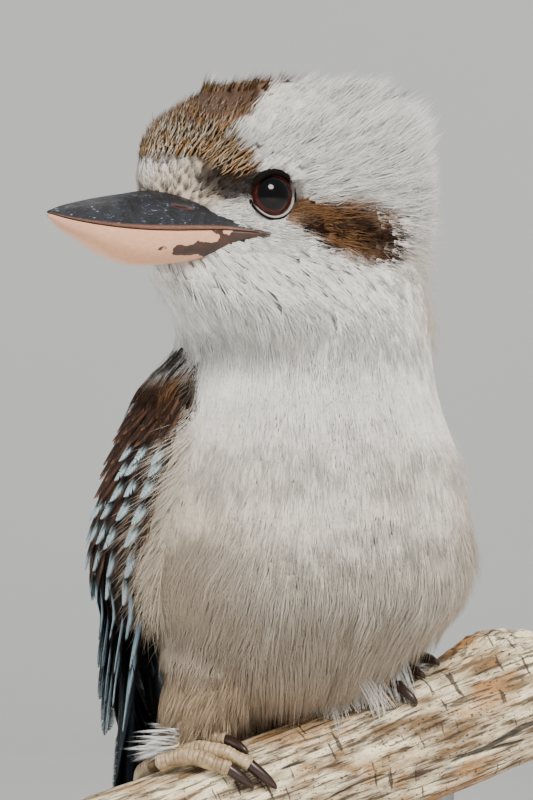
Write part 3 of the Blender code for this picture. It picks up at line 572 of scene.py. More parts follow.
# The mask behind the eye: places along the head, its middle over the eyes and its half depth there
MASK_PATH = (
    (-0.044, -0.031, -0.013, -0.004, 0.002),
    (-0.0135, -0.0122, -0.0080, -0.0050, -0.0050),
    (0.0050, 0.0105, 0.0080, 0.0042, 0.0022),
)


def blend_to(colour, other, share):
    return colour * (1 - share[..., None]) + np.asarray(other) * share[..., None]


def dyed(colour, *covers):
    """A colour with others laid over it in turn, each by its own share."""
    for share, cover in covers:
        colour = blend_to(colour, cover, share)
    return colour


def patch_share(first, second, centre, radii, soft=0.35, tilt=0.0):
    """How far a place is inside a soft-edged oval, from 0 outside it to 1 within."""
    a, b = first - centre[0], second - centre[1]
    u = a * math.cos(tilt) + b * math.sin(tilt)
    v = -a * math.sin(tilt) + b * math.cos(tilt)
    return 1 - smooth_step(np.sqrt((u / radii[0]) ** 2 + (v / radii[1]) ** 2), 1 - soft, 1 + soft)


def crown_share(ahead, side, up):
    """How far a place is inside the brown cap, which widens from the crown to before the eyes."""
    width = 0.0072 + 0.0098 * smooth_step(ahead, -0.022, 0.012)
    width = width + 0.0036 * smooth_step(ahead, 0.004, 0.012) * (1 - smooth_step(up, 0.007, 0.018))
    low = 0.0035 + 0.0065 * smooth_step(ahead, 0.016, 0.028)
    cap = 1 - smooth_step(side, width - 0.0015, width + 0.0015)
    return cap * smooth_step(up, low - 0.002, low + 0.004) * (1 - smooth_step(-ahead, 0.045, 0.066) * 0.7)


def markings(points):
    """The plumage's ground colour at places on the bird, with painted shadow in mottled patches low on the
    breast and belly, the same for skin and feathers.
    """
    ahead, left, height = to_local(points, HEAD_ORIGIN, HEAD_HEADING)
    up = height - EYE_HEIGHT
    side = np.abs(left)
    body_ahead, body_left, _ = to_local(points, BODY_AXIS, BODY_HEADING)
    x, y, z = points[..., 0], points[..., 1], points[..., 2]
    mottle = np.sin(420 * x + 160 * z + 1.3) * np.sin(380 * z - 250 * x + 1.1 * np.sin(170 * x + 210 * z))
    mottle = smooth_step(mottle + 0.7 * np.sin(700 * x + 520 * z + 2.0 * np.sin(310 * z - 90 * x)), -0.5, 1.2)
    shadowed = smooth_step(0.5 - mottle, 0.0, 0.5) * smooth_step(0.105 - height, 0.0, 0.03)
    flank = smooth_step(np.abs(body_left), 0.022, 0.054) * smooth_step(0.125 - height, 0.0, 0.06)
    neck_side = smooth_step(-ahead, 0.035, 0.07) * smooth_step(0.185 - height, 0.0, 0.03)
    back = smooth_step(-body_ahead, 0.012, 0.030) * smooth_step(0.138 - height, 0.0, 0.012)
    edge_at = wing_row(height, body_left > 0)[0]
    edge_at = edge_at - 9 * smooth_step(height, 0.104, 0.116) * (body_left < 0)
    turn = np.degrees(np.arctan2(np.abs(body_left), body_ahead))
    shoulder = smooth_step(turn - edge_at, 0.0, 6.0) * smooth_step(0.130 - height, 0.0, 0.005)
    colour = dyed(
        np.broadcast_to(np.array(WHITE), points.shape),
        (smooth_step(0.150 - height, 0.0, 0.07) * 0.65, BREAST_GREY),
        (smooth_step(0.130 - height, 0.0, 0.05) * mottle * 0.45, CREAM),
        # Painted shadow: darker beige in the mottle's low patches on the lower breast and belly.
        (shadowed * smooth_step(height, 0.030, 0.050) * 0.30, PAINTED_BELLY_SHADOW),
        (smooth_step(0.084 - height, 0.0, 0.060) * 0.62, BELLY_BUFF),
        (smooth_step(0.048 - height, 0.0, 0.03) * 0.8, THIGH_BUFF),
        (flank * 0.6, BELLY_BUFF),
        (neck_side * smooth_step(height, 0.120, 0.140) * 0.8, CREAM),
        (np.maximum(back, shoulder * smooth_step(height, 0.100, 0.112)), MANTLE_BROWN),
    )
    crown = crown_share(ahead, side, up)
    warm = patch_share(ahead, up, (0.013, 0.014), (0.007, 0.012), 0.6) * smooth_step(side, 0.009, 0.014)
    lore = patch_share(ahead, up, (0.026, 0.002), (0.010, 0.008)) * smooth_step(up + 0.012, 0.0, 0.006)
    middle, half = (np.interp(ahead, MASK_PATH[0], MASK_PATH[row]) for row in (1, 2))
    mask = (1 - smooth_step(np.abs(up - middle) / half, 0.78, 1.18)) * smooth_step(side, 0.010, 0.016)
    frayed = 0.0022 * np.sin(1500 * z + 2.0 * np.sin(700 * x)) + 0.0014 * np.sin(3100 * z + 900 * y)
    mask = mask * smooth_step(ahead + frayed, -0.049, -0.036) * (1 - smooth_step(ahead, -0.003, 0.002))
    dark = 1 - smooth_step(np.abs(up - middle + 0.0008) / half, 0.60, 1.10)
    from_eye = np.sqrt((ahead - EYE_SPOT[0]) ** 2 + (side - EYE_SPOT[1]) ** 2 + (up * 1.1) ** 2)
    smudge = patch_share(ahead, up, (0.0145, 0.0040), (0.0105, 0.0056), 0.35, 0.15)
    behind = smooth_step(EYE_SPOT[0] - ahead, 0.0, 0.006) * 0.0012
    forward = ((ahead - EYE_SPOT[0]) * 0.9 + (up - EYE_SPOT[2]) * 0.7) / np.maximum(from_eye, 1e-5)
    ring = (1 - smooth_step(from_eye + behind, 0.0080, 0.0098)) * smooth_step(forward, -0.35, 0.30)
    under_lid = (1 - smooth_step(from_eye, 0.0078, 0.0098)) * smooth_step(-forward, -0.2, 0.3)
    return dyed(
        colour,
        (crown, CROWN_BROWN),
        (warm * crown * 0.9, TAWNY),
        (lore * 0.7, LORE_BUFF),
        (mask * 0.9, TAWNY),
        (dark * smooth_step(-ahead, 0.002, 0.013) * mask * 0.97, MASK_BROWN),
        (smudge * smooth_step(side, 0.008, 0.013) * 0.95, CROWN_DARK),
        (ring * 0.97, CROWN_DARK),
        (under_lid * 0.8, MASK_BROWN),
    )


EYE_CENTRE = (0.0022, 0.0190, -0.0005)
EYE_TILT = (0.34, 0.94, 0.04)
SOCKET_RADIUS = 0.0074
SOCKET_DEPTH = 0.0042


def eye_axes(side):
    middle = head_place(EYE_CENTRE[0], side * EYE_CENTRE[1], EYE_CENTRE[2])
    tip = head_place(EYE_CENTRE[0] + EYE_TILT[0], side * (EYE_CENTRE[1] + EYE_TILT[1]), EYE_TILT[2])
    outward = unit(tip - middle)
    across = unit(np.cross(outward, (0.0, 0.0, 1.0)))
    return middle, outward, across, np.cross(across, outward)


def socket_push(points):
    """How the flesh is pressed in round each eye, so that the lids stand clear of it."""
    push = np.zeros(points.shape)
    for side in (1, -1):
        middle, outward, _, _ = eye_axes(side)
        along = (points - middle) @ outward
        beside = np.linalg.norm(points - middle - outward * along[..., None], axis=-1)
        share = (1 - smooth_step(beside, SOCKET_RADIUS, SOCKET_RADIUS + 0.0026)) * (along > 0)
        push = push - outward * (share * SOCKET_DEPTH)[..., None]
    return push


def coat_depth(azimuth, height):
    """How deep the flesh lies under the feathers' surface: thin on the face, deep on the breast."""
    points = skin_place(azimuth, height)
    ahead, _, _ = to_local(points, HEAD_ORIGIN, HEAD_HEADING)
    face = smooth_step(height, 0.158, 0.172) * smooth_step(ahead, -0.030, 0.004)
    face = face * (1 - 0.8 * smooth_step(height, 0.187, 0.195))
    return 0.0026 - 0.0018 * face


SKIN_ROUND = 240
SKIN_ROWS = 190
skin_heights = np.linspace(SECTIONS[0][0] + 0.0002, SECTIONS[-1][0] - 0.0001, SKIN_ROWS)
skin_height, skin_azimuth = np.meshgrid(
    skin_heights, np.linspace(-math.pi, math.pi, SKIN_ROUND, endpoint=False), indexing="ij"
)
skin_rings = skin_place(skin_azimuth, skin_height, -coat_depth(skin_azimuth, skin_height))
skin_points, skin_triangles = closed_loft(skin_rings + socket_push(skin_rings))

down = Finish("down_under_feathers", roughness=0.9)
down_place = down.stretched(down.place(), (1.0, 1.0, 0.25))
down_tone = down.noise(down_place, 700.0, 4.0)
# Painted shade: the flesh carries the plumage markings darkened unevenly, as the shade in the gaps between
# feathers.
down_colour_with_painted_shade = down.mix(down_tone * 0.4 + 0.6, down.stored("tone"), linear(0.74, 0.70, 0.66), "MULTIPLY")
down.feed("Base Color", down_colour_with_painted_shade)
down.bump(down_tone, 0.8, 0.001)
mesh_piece(
    "flesh_and_down", skin_points, skin_triangles, down, slot="breast_plumage",
    replaces=("head", "neck", "torso"), stored={"tone": markings(skin_points)},
)

# Bill
# Two long horn sheaths that meet along a nearly straight mouth line: the upper slate black with
# pale scuffs and a slit of a nostril, the lower pinkish horn with a dark patch at its base.
BILL = (
    (0.0774, 0.0007, -0.0060, -0.0068, -0.0080),
    (0.0728, 0.0024, -0.0047, -0.0080, -0.0108),
    (0.0634, 0.0052, -0.0029, -0.0096, -0.0146),
    (0.0541, 0.0078, -0.0016, -0.0106, -0.0183),
    (0.0447, 0.0100, -0.0005, -0.0111, -0.0209),
    (0.0363, 0.0120, 0.0005, -0.0112, -0.0215),
    (0.0268, 0.0142, 0.0001, -0.0110, -0.0208),
    (0.0160, 0.0174, -0.0040, -0.0109, -0.0195),
    (0.0105, 0.0212, -0.0094, -0.0114, -0.0157),
    (0.0060, 0.0238, -0.0110, -0.0118, -0.0130),
)
MOUTH_GAP = 0.0004
NOSTRIL = (0.0310, 0.0110, -0.0040)
BILL_ALONG = 150
BILL_ROUND = 61
BITE_COLUMNS = 9


def bill_profile(along, column):
    table = np.array(BILL)[::-1]
    return cubic(table[:, 0], table, np.gradient(table, table[:, 0], axis=0), along)[..., column]


def bill_half(name, upper, finish, slot, node):
    """One half of the bill: a rounded back over a flat bite, with the upper half's rim turned down."""
    along = np.linspace(BILL[-1][0], BILL[0][0], BILL_ALONG)
    a, v = np.meshgrid(along, np.linspace(0, math.pi, BILL_ROUND), indexing="ij")
    mouth = bill_profile(a, 3) + (MOUTH_GAP / 2 if upper else -MOUTH_GAP / 2)
    crown = bill_profile(a, 2 if upper else 4)
    across = bill_profile(a, 1) * np.sign(np.cos(v)) * np.abs(np.cos(v)) ** 0.9
    lift = (crown - mouth) * np.sin(v) ** 0.85
    pit = 0 * a
    if upper:
        over = mouth + lift - NOSTRIL[2] - (a - NOSTRIL[0]) * 0.12
        pit = np.exp(-(((a - NOSTRIL[0]) / 0.0036) ** 4)) * bump_at(over, 0.0, 0.0007)
        across = across * (1 - 0.10 * pit)
        lift = lift - 0.00035 * bump_at(np.abs(np.cos(v)), 0.80, 0.06) * smooth_step(0.062 - a, 0.0, 0.03)
        lift = lift + 0.0002 * bump_at(np.cos(v), 0.0, 0.10) * smooth_step(0.07 - a, 0.0, 0.02)
    ahead, left = heading_pair(HEAD_HEADING)
    flat = HEAD_ORIGIN + a[..., None] * ahead + across[..., None] * left
    points = np.concatenate((flat, (mouth + lift + EYE_HEIGHT + LEVEL)[..., None]), axis=-1)
    share = np.linspace(0, 1, BITE_COLUMNS + 2)[1:-1, None]
    bite = points[:, -1:] * (1 - share) + points[:, :1] * share
    points, triangles = closed_loft(np.concatenate((points, bite), axis=1))
    edge = np.abs(lift) / np.maximum(np.abs(crown - mouth), 1e-5)
    place = np.zeros((BILL_ALONG, BILL_ROUND + BITE_COLUMNS, 3))
    place[..., 0] = along[:, None]
    place[:, :BILL_ROUND, 1:] = np.stack((edge, pit), axis=-1)
    place = np.concatenate((place.reshape(-1, 3), ((BILL[-1][0], 0.5, 0), (BILL[0][0], 0.5, 0))))
    mesh_piece(
        name, points, triangles if upper else triangles[:, ::-1], finish, slot=slot, replaces=(node,),
        stored={"bill_place": place},
    )


horn_black = Finish("slate_horn", coat_weight=0.08, coat_roughness=0.3, specular_ior_level=0.35)
bill_at = horn_black.stored("bill_place", "Vector")
bill_along, bill_over, nostril = (horn_black.part(bill_at, axis) for axis in (0, 1, 2))
horn_grain = horn_black.stretched(horn_black.place(), (0.6, 0.6, 2.2))
scuffs = horn_black.noise(horn_grain, 900.0, 6.0, 0.7)
blotch = horn_black.noise(horn_black.place(), 210.0, 4.0)
rim_share = (1 - bill_over.above(0.10, 0.08)) * (1 - bill_along.above(0.052, 0.02) * 0.3)
horn_black.feed("Base Color", horn_black.layers(
    horn_black.mix(blotch.above(0.5, 0.3), linear(0.03, 0.032, 0.042), linear(0.07, 0.08, 0.12)),
    (scuffs.above(0.62, 0.10) * blotch.above(0.52, 0.16) * 0.8, linear(0.60, 0.61, 0.66)),
    (nostril.above(0.25, 0.2) * 0.8, linear(0.30, 0.20, 0.18)),
    (nostril.above(0.78, 0.1) * 0.95, linear(0.02, 0.015, 0.015)),
    (rim_share * 0.45, linear(0.66, 0.44, 0.33)),
))
horn_black.feed("Roughness", scuffs * 0.4 + 0.30)
horn_black.bump(scuffs + blotch * 2.0, 0.6, 0.0006)
bill_half("upper_bill", True, horn_black, "bill_slate", "bill_upper")

horn_pink = Finish("pink_horn", specular_ior_level=0.3, coat_weight=0.1, coat_roughness=0.35)
bill_at = horn_pink.stored("bill_place", "Vector")
bill_along, bill_over = (horn_pink.part(bill_at, axis) for axis in (0, 1))
pink_grain = horn_pink.noise(horn_pink.stretched(horn_pink.place(), (1.0, 1.0, 3.0)), 500.0, 5.0)
patch_noise = horn_pink.noise(horn_pink.place(), 260.0, 4.0)
patch_edge = patch_noise * 0.030 + 0.0045 + bill_over.above(0.38, 0.3) * 0.017
patch_edge = patch_edge - bill_over.above(0.74, 0.2) * 0.019
horn_pink.feed("Base Color", horn_pink.layers(
    horn_pink.mix(pink_grain, linear(0.74, 0.53, 0.40), linear(0.86, 0.67, 0.54)),
    (bill_along.above(0.066, 0.016) * 0.6, linear(0.72, 0.55, 0.46)),
    (
        (1 - (bill_along - patch_edge).above(0.0, 0.0014)) * 0.95,
        horn_pink.mix(patch_noise.above(0.52, 0.08), linear(0.04, 0.015, 0.015), linear(0.15, 0.045, 0.03)),
    ),
))
horn_pink.feed("Roughness", pink_grain * 0.2 + 0.35)
horn_pink.bump(pink_grain, 0.15, 0.0003)
bill_half("lower_bill", False, horn_pink, "bill_horn", "bill_lower")

# Eyes
# A glossy ball set deep in the head: dark red-brown iris round a wide black pupil, held by bare
# dark lids whose lower rim is thin and pale.
EYE_RADIUS = 0.0075
EYE_RINGS = 40
EYE_ROUND = 64
GAZE = (0.47, 0.87, 0.13)
LID_RADIUS = 0.0066
LID_ROWS = 72
LID_COLUMNS = 14
PUPIL_RADIUS = 0.0051
IRIS_RADIUS = 0.0065

eyeball = Finish("eyeball", roughness=0.12, specular_ior_level=0.1, coat_weight=0.16, coat_roughness=0.02)
from_axis = eyeball.stored("eye_place", "Fac")
iris_noise = eyeball.noise(eyeball.place(), 1400.0, 3.0)
eyeball.feed("Base Color", eyeball.layers(
    eyeball.mix(iris_noise, linear(0.10, 0.03, 0.025), linear(0.25, 0.075, 0.05)),
    (1 - from_axis.above(PUPIL_RADIUS / EYE_RADIUS, 0.05), linear(0.02, 0.015, 0.015)),
    (from_axis.above(IRIS_RADIUS / EYE_RADIUS, 0.08), linear(0.05, 0.03, 0.03)),
))

bare_lid = Finish("bare_lid", roughness=0.7, specular_ior_level=0.04)
lid_low = bare_lid.stored("lid_place", "Fac")
lid_noise = bare_lid.noise(bare_lid.place(), 1500.0, 3.0)
bare_lid.feed("Base Color", bare_lid.layers(
    bare_lid.mix(lid_noise, linear(0.03, 0.025, 0.022), linear(0.07, 0.055, 0.05)),
    (lid_low * 0.9, linear(0.62, 0.60, 0.58)),
))
bare_lid.bump(lid_noise, 0.6, 0.0003)


def circle(count):
    return np.linspace(0, 2 * math.pi, count, endpoint=False)


def make_eye(side, name):
    middle, outward, across, up = eye_axes(side)
    tilt = np.linspace(0.02, math.pi - 0.02, EYE_RINGS)[:, None, None]
    spoke = spokes(circle(EYE_ROUND), across, up)
    ball = middle + EYE_RADIUS * (np.cos(tilt) * outward + np.sin(tilt) * spoke)
    points, triangles = closed_loft(ball, [middle + outward * EYE_RADIUS, middle - outward * EYE_RADIUS])
    start, end = (head_place(*(np.array(GAZE) * (1, side, 1) * k)) for k in (0, 1))
    aimed = ((points - middle) / EYE_RADIUS) @ unit(end - start)
    offset = np.where(aimed > 0, np.sqrt(np.maximum(1 - aimed**2, 0)), 1.0)
    mesh_piece(
        name, points, triangles[:, ::-1], eyeball, slot="eye_brown", replaces=(name,),
        stored={"eye_place": offset},
    )


def make_lids(side, name):
    """A soft ring of bare skin round the eye, thicker over it, drawn to a corner at each end."""
    middle, outward, across, up = eye_axes(side)
    a, b = np.meshgrid(circle(LID_ROWS), circle(LID_COLUMNS), indexing="ij")
    corner = np.abs(np.cos(a)) ** 6
    over = smooth_step(np.sin(a), -0.1, 0.8)
    open_by = LID_RADIUS * (1 - 0.06 * np.abs(np.sin(a)) - 0.05 * over) + 0.0005 * corner
    thick = 0.00042 + 0.00036 * over
    folds = 0.00006 * np.sin(b * 4) * np.sin(a * 23)
    far = open_by + thick * 1.4 + (thick * 1.4 + folds) * np.cos(b)
    rise = np.sqrt(EYE_RADIUS**2 - open_by**2) + (thick + folds) * np.sin(b) + 0.0002 * over
    spoke = spokes(circle(LID_ROWS), across, up)[:, None]
    points = middle + spoke * far[..., None] + outward * rise[..., None]
    triangles = grid_triangles(LID_ROWS + 1, LID_COLUMNS, True) % (LID_ROWS * LID_COLUMNS)
    pale = smooth_step(-np.sin(a + 0.5), -0.2, 0.3) * smooth_step(-np.cos(b), -0.3, 0.4)
    mesh_piece(name, points, triangles, bare_lid, slot="eye_brown", stored={"lid_place": pale.ravel()})


for eye_side, side_name in ((1, "left"), (-1, "right")):
    make_eye(eye_side, "eye_" + side_name)
    make_lids(eye_side, "lids_" + side_name)

# Leg places
# Where the thighs come out of the belly and the toes grip the branch: two legs set a little apart,
# each with three toes over the wood and one behind it.
TOE_RADIUS = 0.0027
TOE_CLEAR = 0.0006
TOE_NARROWING = 0.18
CLAW_RADIUS = 0.0017
SHANK_RADII = (0.0042, 0.0032, 0.0030)
SHANK_RISE = 0.009
THIGH_LENGTH = 0.030
THIGH_LOW_RADIUS = 0.0075
THIGH_SWELL = 0.0100
THIGH_BACK = 0.006
THIGH_LEAN = 0.6
FEET = (
    ("right", -0.0350, 0.0028, (
        ("outer", -0.0440, 0.10, -0.0270, 0.85, 0.0065),
        ("middle", -0.0375, 0.02, -0.0205, 0.90, 0.0080),
        ("inner", -0.0310, -0.20, -0.0215, 0.22, 0.0075),
        ("hind", -0.0410, -0.45, -0.0480, -1.35, 0.0070),
    )),
    ("left", 0.0300, 0.0086, (
        ("inner", 0.0230, -0.15, 0.0330, 0.42, 0.0085),
        ("middle", 0.0290, -0.35, 0.0400, 0.02, 0.0080),
        ("outer", 0.0350, -0.60, 0.0470, -0.12, 0.0065),
        ("hind", 0.0250, -0.62, 0.0180, -1.50, 0.0070),
    )),
)


def leg_places(leg):
    _, left_by, ahead_by, toes = leg
    middle_along = sum(toe[1] for toe in toes[:3]) / 3
    knuckle = perch_place(middle_along, toes[1][2] - 0.1, TOE_RADIUS + TOE_CLEAR)
    top = body_place(ahead_by - THIGH_BACK, left_by, 0.0)
    top[2] = knuckle[2] + SHANK_RISE
    rise = body_place(ahead_by - THIGH_BACK, left_by * THIGH_LEAN, 0.0)
    return knuckle, top, rise


def thigh_place(leg, share, turn, lift=0.0):
    _, top, rise = leg_places(leg)
    share, turn = np.asarray(share, float), np.asarray(turn, float)
    far = THIGH_LOW_RADIUS + THIGH_SWELL * np.sin(share * math.pi / 2) + lift
    x = top[0] * (1 - share) + rise[0] * share + far * np.cos(turn)
    y = top[1] * (1 - share) + rise[1] * share + far * np.sin(turn)
    return np.stack((x, y, top[2] + THIGH_LENGTH * share + 0 * turn), axis=-1)


def over_thigh(azimuth, height):
    """How far the thighs stand out of the body at places on it, rounded in above their tops."""
    skin = skin_reach(azimuth, height)
    ray = np.stack((np.cos(azimuth), np.sin(azimuth)), axis=-1)
    lift = 0 * azimuth
    for leg in FEET:
        _, top, rise = leg_places(leg)
        share = (height + LEVEL - top[2]) / THIGH_LENGTH
        bounded = np.clip(share, 0, 1)
        dome = np.clip(1 - ((share - 0.75) / 0.75) ** 2, 0, 1) ** 0.5
        far = THIGH_LOW_RADIUS + THIGH_SWELL * np.sin(bounded * math.pi / 2)
        far = far * np.where(share > 0.75, dome, 1.0)
        middle = blend_to(top[:2], rise[:2], bounded) - axis_at(height)
        along = (middle * ray).sum(axis=-1)
        beside = far**2 - ((middle**2).sum(axis=-1) - along**2)
        out = along + np.sqrt(np.maximum(beside, 0)) - skin
        lift = np.maximum(lift, np.where((beside > 0) & (share > -0.1) & (along > 0), out + 0.0012, 0.0))
    return lift


# Body feathers
# Soft contour feathers rooted in the flesh in rows, each a lock of fine barbs: tiny on the face,
# longer on throat, breast and belly, lying back from the bill and then down the body.
EYE_CLEAR = 0.0078
EYE_OUT = 0.004
PATCH = 0.003
LEAST_SLOPE = 0.07
HIGHEST_ROOT = 0.2174
THIGH_TOP = 0.050
BRIGHTEST = 0.95
FLOW_FROM = head_place(0.024, 0.0, -0.006)


def root_grid(low, high, pitch, draw):
    """World azimuths and heights of roots in jittered rows about a pitch apart on the body."""
    azimuths, heights = [], []
    height = low
    while height < high:
        ring = skin_place(np.linspace(0, 2 * math.pi, 40), height)
        upright = skin_normal(np.array([BODY_HEADING]), np.array([height]))[0, 2]
        slope = max(LEAST_SLOPE, (1 - upright**2) ** 0.5)
        length = np.linalg.norm(np.diff(ring, axis=0), axis=1).sum()
        count = max(3, int(length / pitch))
        turn = (np.arange(count) + draw.uniform(0, 1)) / count * 2 * math.pi - math.pi
        azimuths.append(turn + draw.uniform(-0.45, 0.45, count) * 2 * math.pi / count)
        heights.append(np.full(count, height) + draw.uniform(-0.4, 0.4, count) * pitch)
        height += pitch * 0.87 * slope
    heights = np.clip(np.concatenate(heights), SECTIONS[0][0] + 0.0005, SECTIONS[-1][0] - 0.0003)
    return np.concatenate(azimuths), heights


def eye_front(side):
    middle, outward, _, _ = eye_axes(side)
    return middle + outward * EYE_OUT


def clear_of_face(points):
    """True where a root is off the bill, the eyes and their lids."""
    ahead, left, height = to_local(points, HEAD_ORIGIN, HEAD_HEADING)
    up = height - EYE_HEIGHT
    on_bill = np.clip(ahead, BILL[-1][0], BILL[0][0])
    width = np.clip(1 - (np.abs(left) / bill_profile(on_bill, 1)) ** 2.2, 0, 1) ** 0.45
    mouth = bill_profile(on_bill, 3)
    over = mouth + (bill_profile(on_bill, 2) - mouth) * width - 0.0002
    under = mouth - (mouth - bill_profile(on_bill, 4)) * width + 0.0002
    inside = (np.abs(left) < bill_profile(on_bill, 1)) & (up < over) & (up > under)
    good = ~(inside & (ahead > BILL[-1][0]))
    for side in (1, -1):
        good &= np.linalg.norm(points - eye_front(side), axis=-1) > EYE_CLEAR
    return good


def round_body(azimuth, side):
    """Degrees round the body from its heading towards one side."""
    return np.degrees((side * (azimuth - BODY_HEADING) + math.pi) % (2 * math.pi) - math.pi)


WING_COVER = (0.042, 0.125)


def under_wing(azimuth, height):
    """True where the wings hide the body, a little inside their edges."""
    covered = np.zeros(height.shape, bool)
    for side in (1, -1):
        front, back, _ = wing_row(height, side > 0)
        turn = round_body(azimuth, side)
        covered |= (turn > front - 1) & (turn < back - 4)
    return covered & (height > WING_COVER[0]) & (height < WING_COVER[1])


DOWNWARD = np.array((0.0, 0.0, -1.0))


def coat_lie(points, normals, height, raised=0.35):
    """The way feathers lie: back from the bill over the head, then down, and outward on the flanks."""
    flow = unit(points - FLOW_FROM)
    head_ahead, _ = heading_pair(HEAD_HEADING)
    rearward = -(normals[..., :2] @ head_ahead)
    flow[..., 2] += raised * smooth_step(height, 0.172, 0.195) * (1 - smooth_step(rearward, 0.25, 0.60))
    flow[..., 2] -= 0.9 * smooth_step(rearward, 0.55, 0.95)
    sink = smooth_step(0.172 - height, 0.0, 0.034)[..., None]
    _, left, _ = to_local(points, BODY_AXIS, BODY_HEADING)
    _, leftward = heading_pair(BODY_HEADING)
    wide = smooth_step(np.abs(left), 0.014, 0.046) * smooth_step(0.125 - height, 0.0, 0.05)
    fall = DOWNWARD + np.append(leftward, 0.0) * (np.sign(left) * wide * 0.9)[..., None]
    return laid_flat(flow * (1 - sink) + fall * sink, normals)


def strands(spine, sideways, upward, width):
    """Closed three-sided tapered strands along spines: their points and triangles."""
    rings = spine.shape[-2] - 1
    spine = spine.reshape(-1, rings + 1, 3)
    ring = spine[:, :-1]
    flat = sideways.reshape(-1, 1, 3) * width
    tall = upward.reshape(-1, 1, 3) * width
    corners = np.stack((ring + flat * 0.5, ring + tall * 0.45, ring - flat * 0.5), axis=2)
    points = np.concatenate((corners.reshape(-1, rings * 3, 3), spine[:, -1:]), axis=1)
    each = rings * 3 + 1
    faces = [(0, 1, 2)]
    for i in range(rings - 1):
        for a, b in ((0, 1), (1, 2), (2, 0)):
            low, high = 3 * i + a, 3 * i + b
            faces += [(low, high + 3, high), (low, low + 3, high + 3)]
    top = 3 * (rings - 1)
    faces += [(top + 1, top, each - 1), (top + 2, top + 1, each - 1), (top, top + 2, each - 1)]
    triangles = np.array(faces)[None] + (np.arange(len(spine)) * each)[:, None, None]
    return points, triangles.reshape(-1, 3)


def wing_bulge(share, thick):
    """How thick a wing is from its front edge to its back, thinner towards both."""
    return thick * (0.25 + 0.75 * (1 - np.abs(2 * np.clip(share, 0, 1) - 1) ** 3))


def over_wing(azimuth, height):
    """How far the wings stand off the body at places on it, 0 where no wing lies."""
    lift = 0 * azimuth
    for side in (1, -1):
        front, back, thick = wing_row(height, side > 0)
        share = (round_body(azimuth, side) - front) / (back - front)
        on = smooth_step(share, -0.06, 0.04) * (share < 1) * smooth_step(0.131 - height, 0.0, 0.002)
        on = on * smooth_step(height, 0.034, 0.042)
        lift = np.maximum(lift, (0.0048 + wing_bulge(share, thick)) * on)
    return lift


def hug_skin(spine, share, highest):
    """Spines held over the skin, so that none dives into a hollow or stands off a rounding."""
    height = np.clip(spine[..., 2] - LEVEL, SECTIONS[0][0], SECTIONS[-1][0] - 0.0002)
    flat = spine[..., :2] - axis_at(height)
    azimuth = np.arctan2(flat[..., 1], flat[..., 0])
    far = np.linalg.norm(flat, axis=-1)
    skin = skin_reach(azimuth, height)
    lowest = -coat_depth(azimuth, height) + (0.0026 + 0 * far) * np.sqrt(share) - 0.0003
    raised = np.maximum(over_wing(azimuth, height), over_thigh(azimuth, height))
    lowest = np.maximum(lowest, raised * smooth_step(share, 0.05, 0.55))
    hanging = 0.016 * smooth_step(0.050 - height, 0.0, 0.020)
    held = skin + np.clip(far - skin, lowest, np.maximum(highest + hanging, lowest))
    steep = smooth_step(0.204 - height, 0.0, 0.008) * smooth_step(height, 0.016, 0.030)
    scale = 1 + (held / np.maximum(far, 1e-6) - 1) * steep
    return np.concatenate((spine[..., :2] + flat * (scale - 1)[..., None], spine[..., 2:]), axis=-1)


def make_locks(name, roots, normals, lies, lengths, shape, colours, root_uv, slot, draw, highest=None):
    """One joined mesh of locks, each a spray of barbs that spread from one root."""
    count_of, width, spreads, rise, curl, rings = shape
    centre_colour, edge_colour_and_shade, root_shade_share = colours
    count = len(roots)
    across = unit(np.cross(lies, normals))
    f = np.linspace(-1, 1, count_of)[None, :] + draw.uniform(-0.5, 0.5, (count, count_of)) * 2 / count_of
    long = lengths[:, None] * (1 - 0.16 * f**2) * draw.uniform(0.72, 1.0, (count, count_of))
    lean = draw.normal(0, 0.05, (count, count_of))
    t = np.linspace(0, 1, rings + 1)[None, None, :]
    spread = spreads[0] * (1 - t) ** 2 + spreads[1] * 3 * t * (1 - t) + spreads[2] * t**2
    side_by = f[..., None] * spread + (lean * long)[..., None] * t
    stand = rise * draw.uniform(0.55, 1.5, (count, 1)) * draw.uniform(0.8, 1.2, (count, count_of))
    lift_by = long[..., None] * (stand[..., None] * t - curl * t**2)
    spine = roots[:, None, None] + lies[:, None, None] * (long[..., None] * t)[..., None]
    spine = spine + across[:, None, None] * side_by[..., None] + normals[:, None, None] * lift_by[..., None]
    if highest:
        spine = hug_skin(spine, t, highest)
    fat = (width * (1 - 0.7 * t[..., :-1])).reshape(1, rings, 1)
    sideways = np.repeat(across, count_of, axis=0)
    upward = np.repeat(normals, count_of, axis=0)
    points, triangles = strands(spine, sideways, upward, fat)
    points = points.reshape(count, count_of, -1, 3)
    t_all = np.concatenate((np.repeat(t[0, 0, :-1], 3), [1.0]))
    edge = smooth_step(np.abs(f), 0.40, 0.92)[..., None, None]
    # Painted shade: each barb is darkest at its root, where the locks shade each other, and a little brighter
    # at its tip.
    shade = (1 - root_shade_share + root_shade_share * 1.15 * t_all)[None, None, :, None]
    own = draw.uniform(0.88, 1.10, (count, 1, 1, 1)) * draw.uniform(0.90, 1.10, (count, count_of, 1, 1))
    # Outer barbs take the edge colour: the real tan or pale edge of crown and mantle feathers, painted shade
    # between the locks elsewhere.
    tone = (centre_colour[:, None, None, :] * (1 - edge) + edge_colour_and_shade[:, None, None, :] * edge) * shade * own
    tone = np.clip(np.broadcast_to(tone, points.shape), 0, BRIGHTEST)
    patch_u = root_uv[:, None, None, 0] + PATCH * 0.45 * np.clip(f, -1, 1)[..., None] + 0 * t_all
    patch_v = root_uv[:, None, None, 1] + PATCH * (t_all[None, None, :] - 0.5) + 0 * patch_u
    uv = np.stack((patch_u, patch_v), axis=-1).reshape(-1, 2)
    mesh_piece(
        name, points.reshape(-1, 3), triangles, barbs, slot=slot, uv=uv, stored={"tone": tone.reshape(-1, 3)}
    )


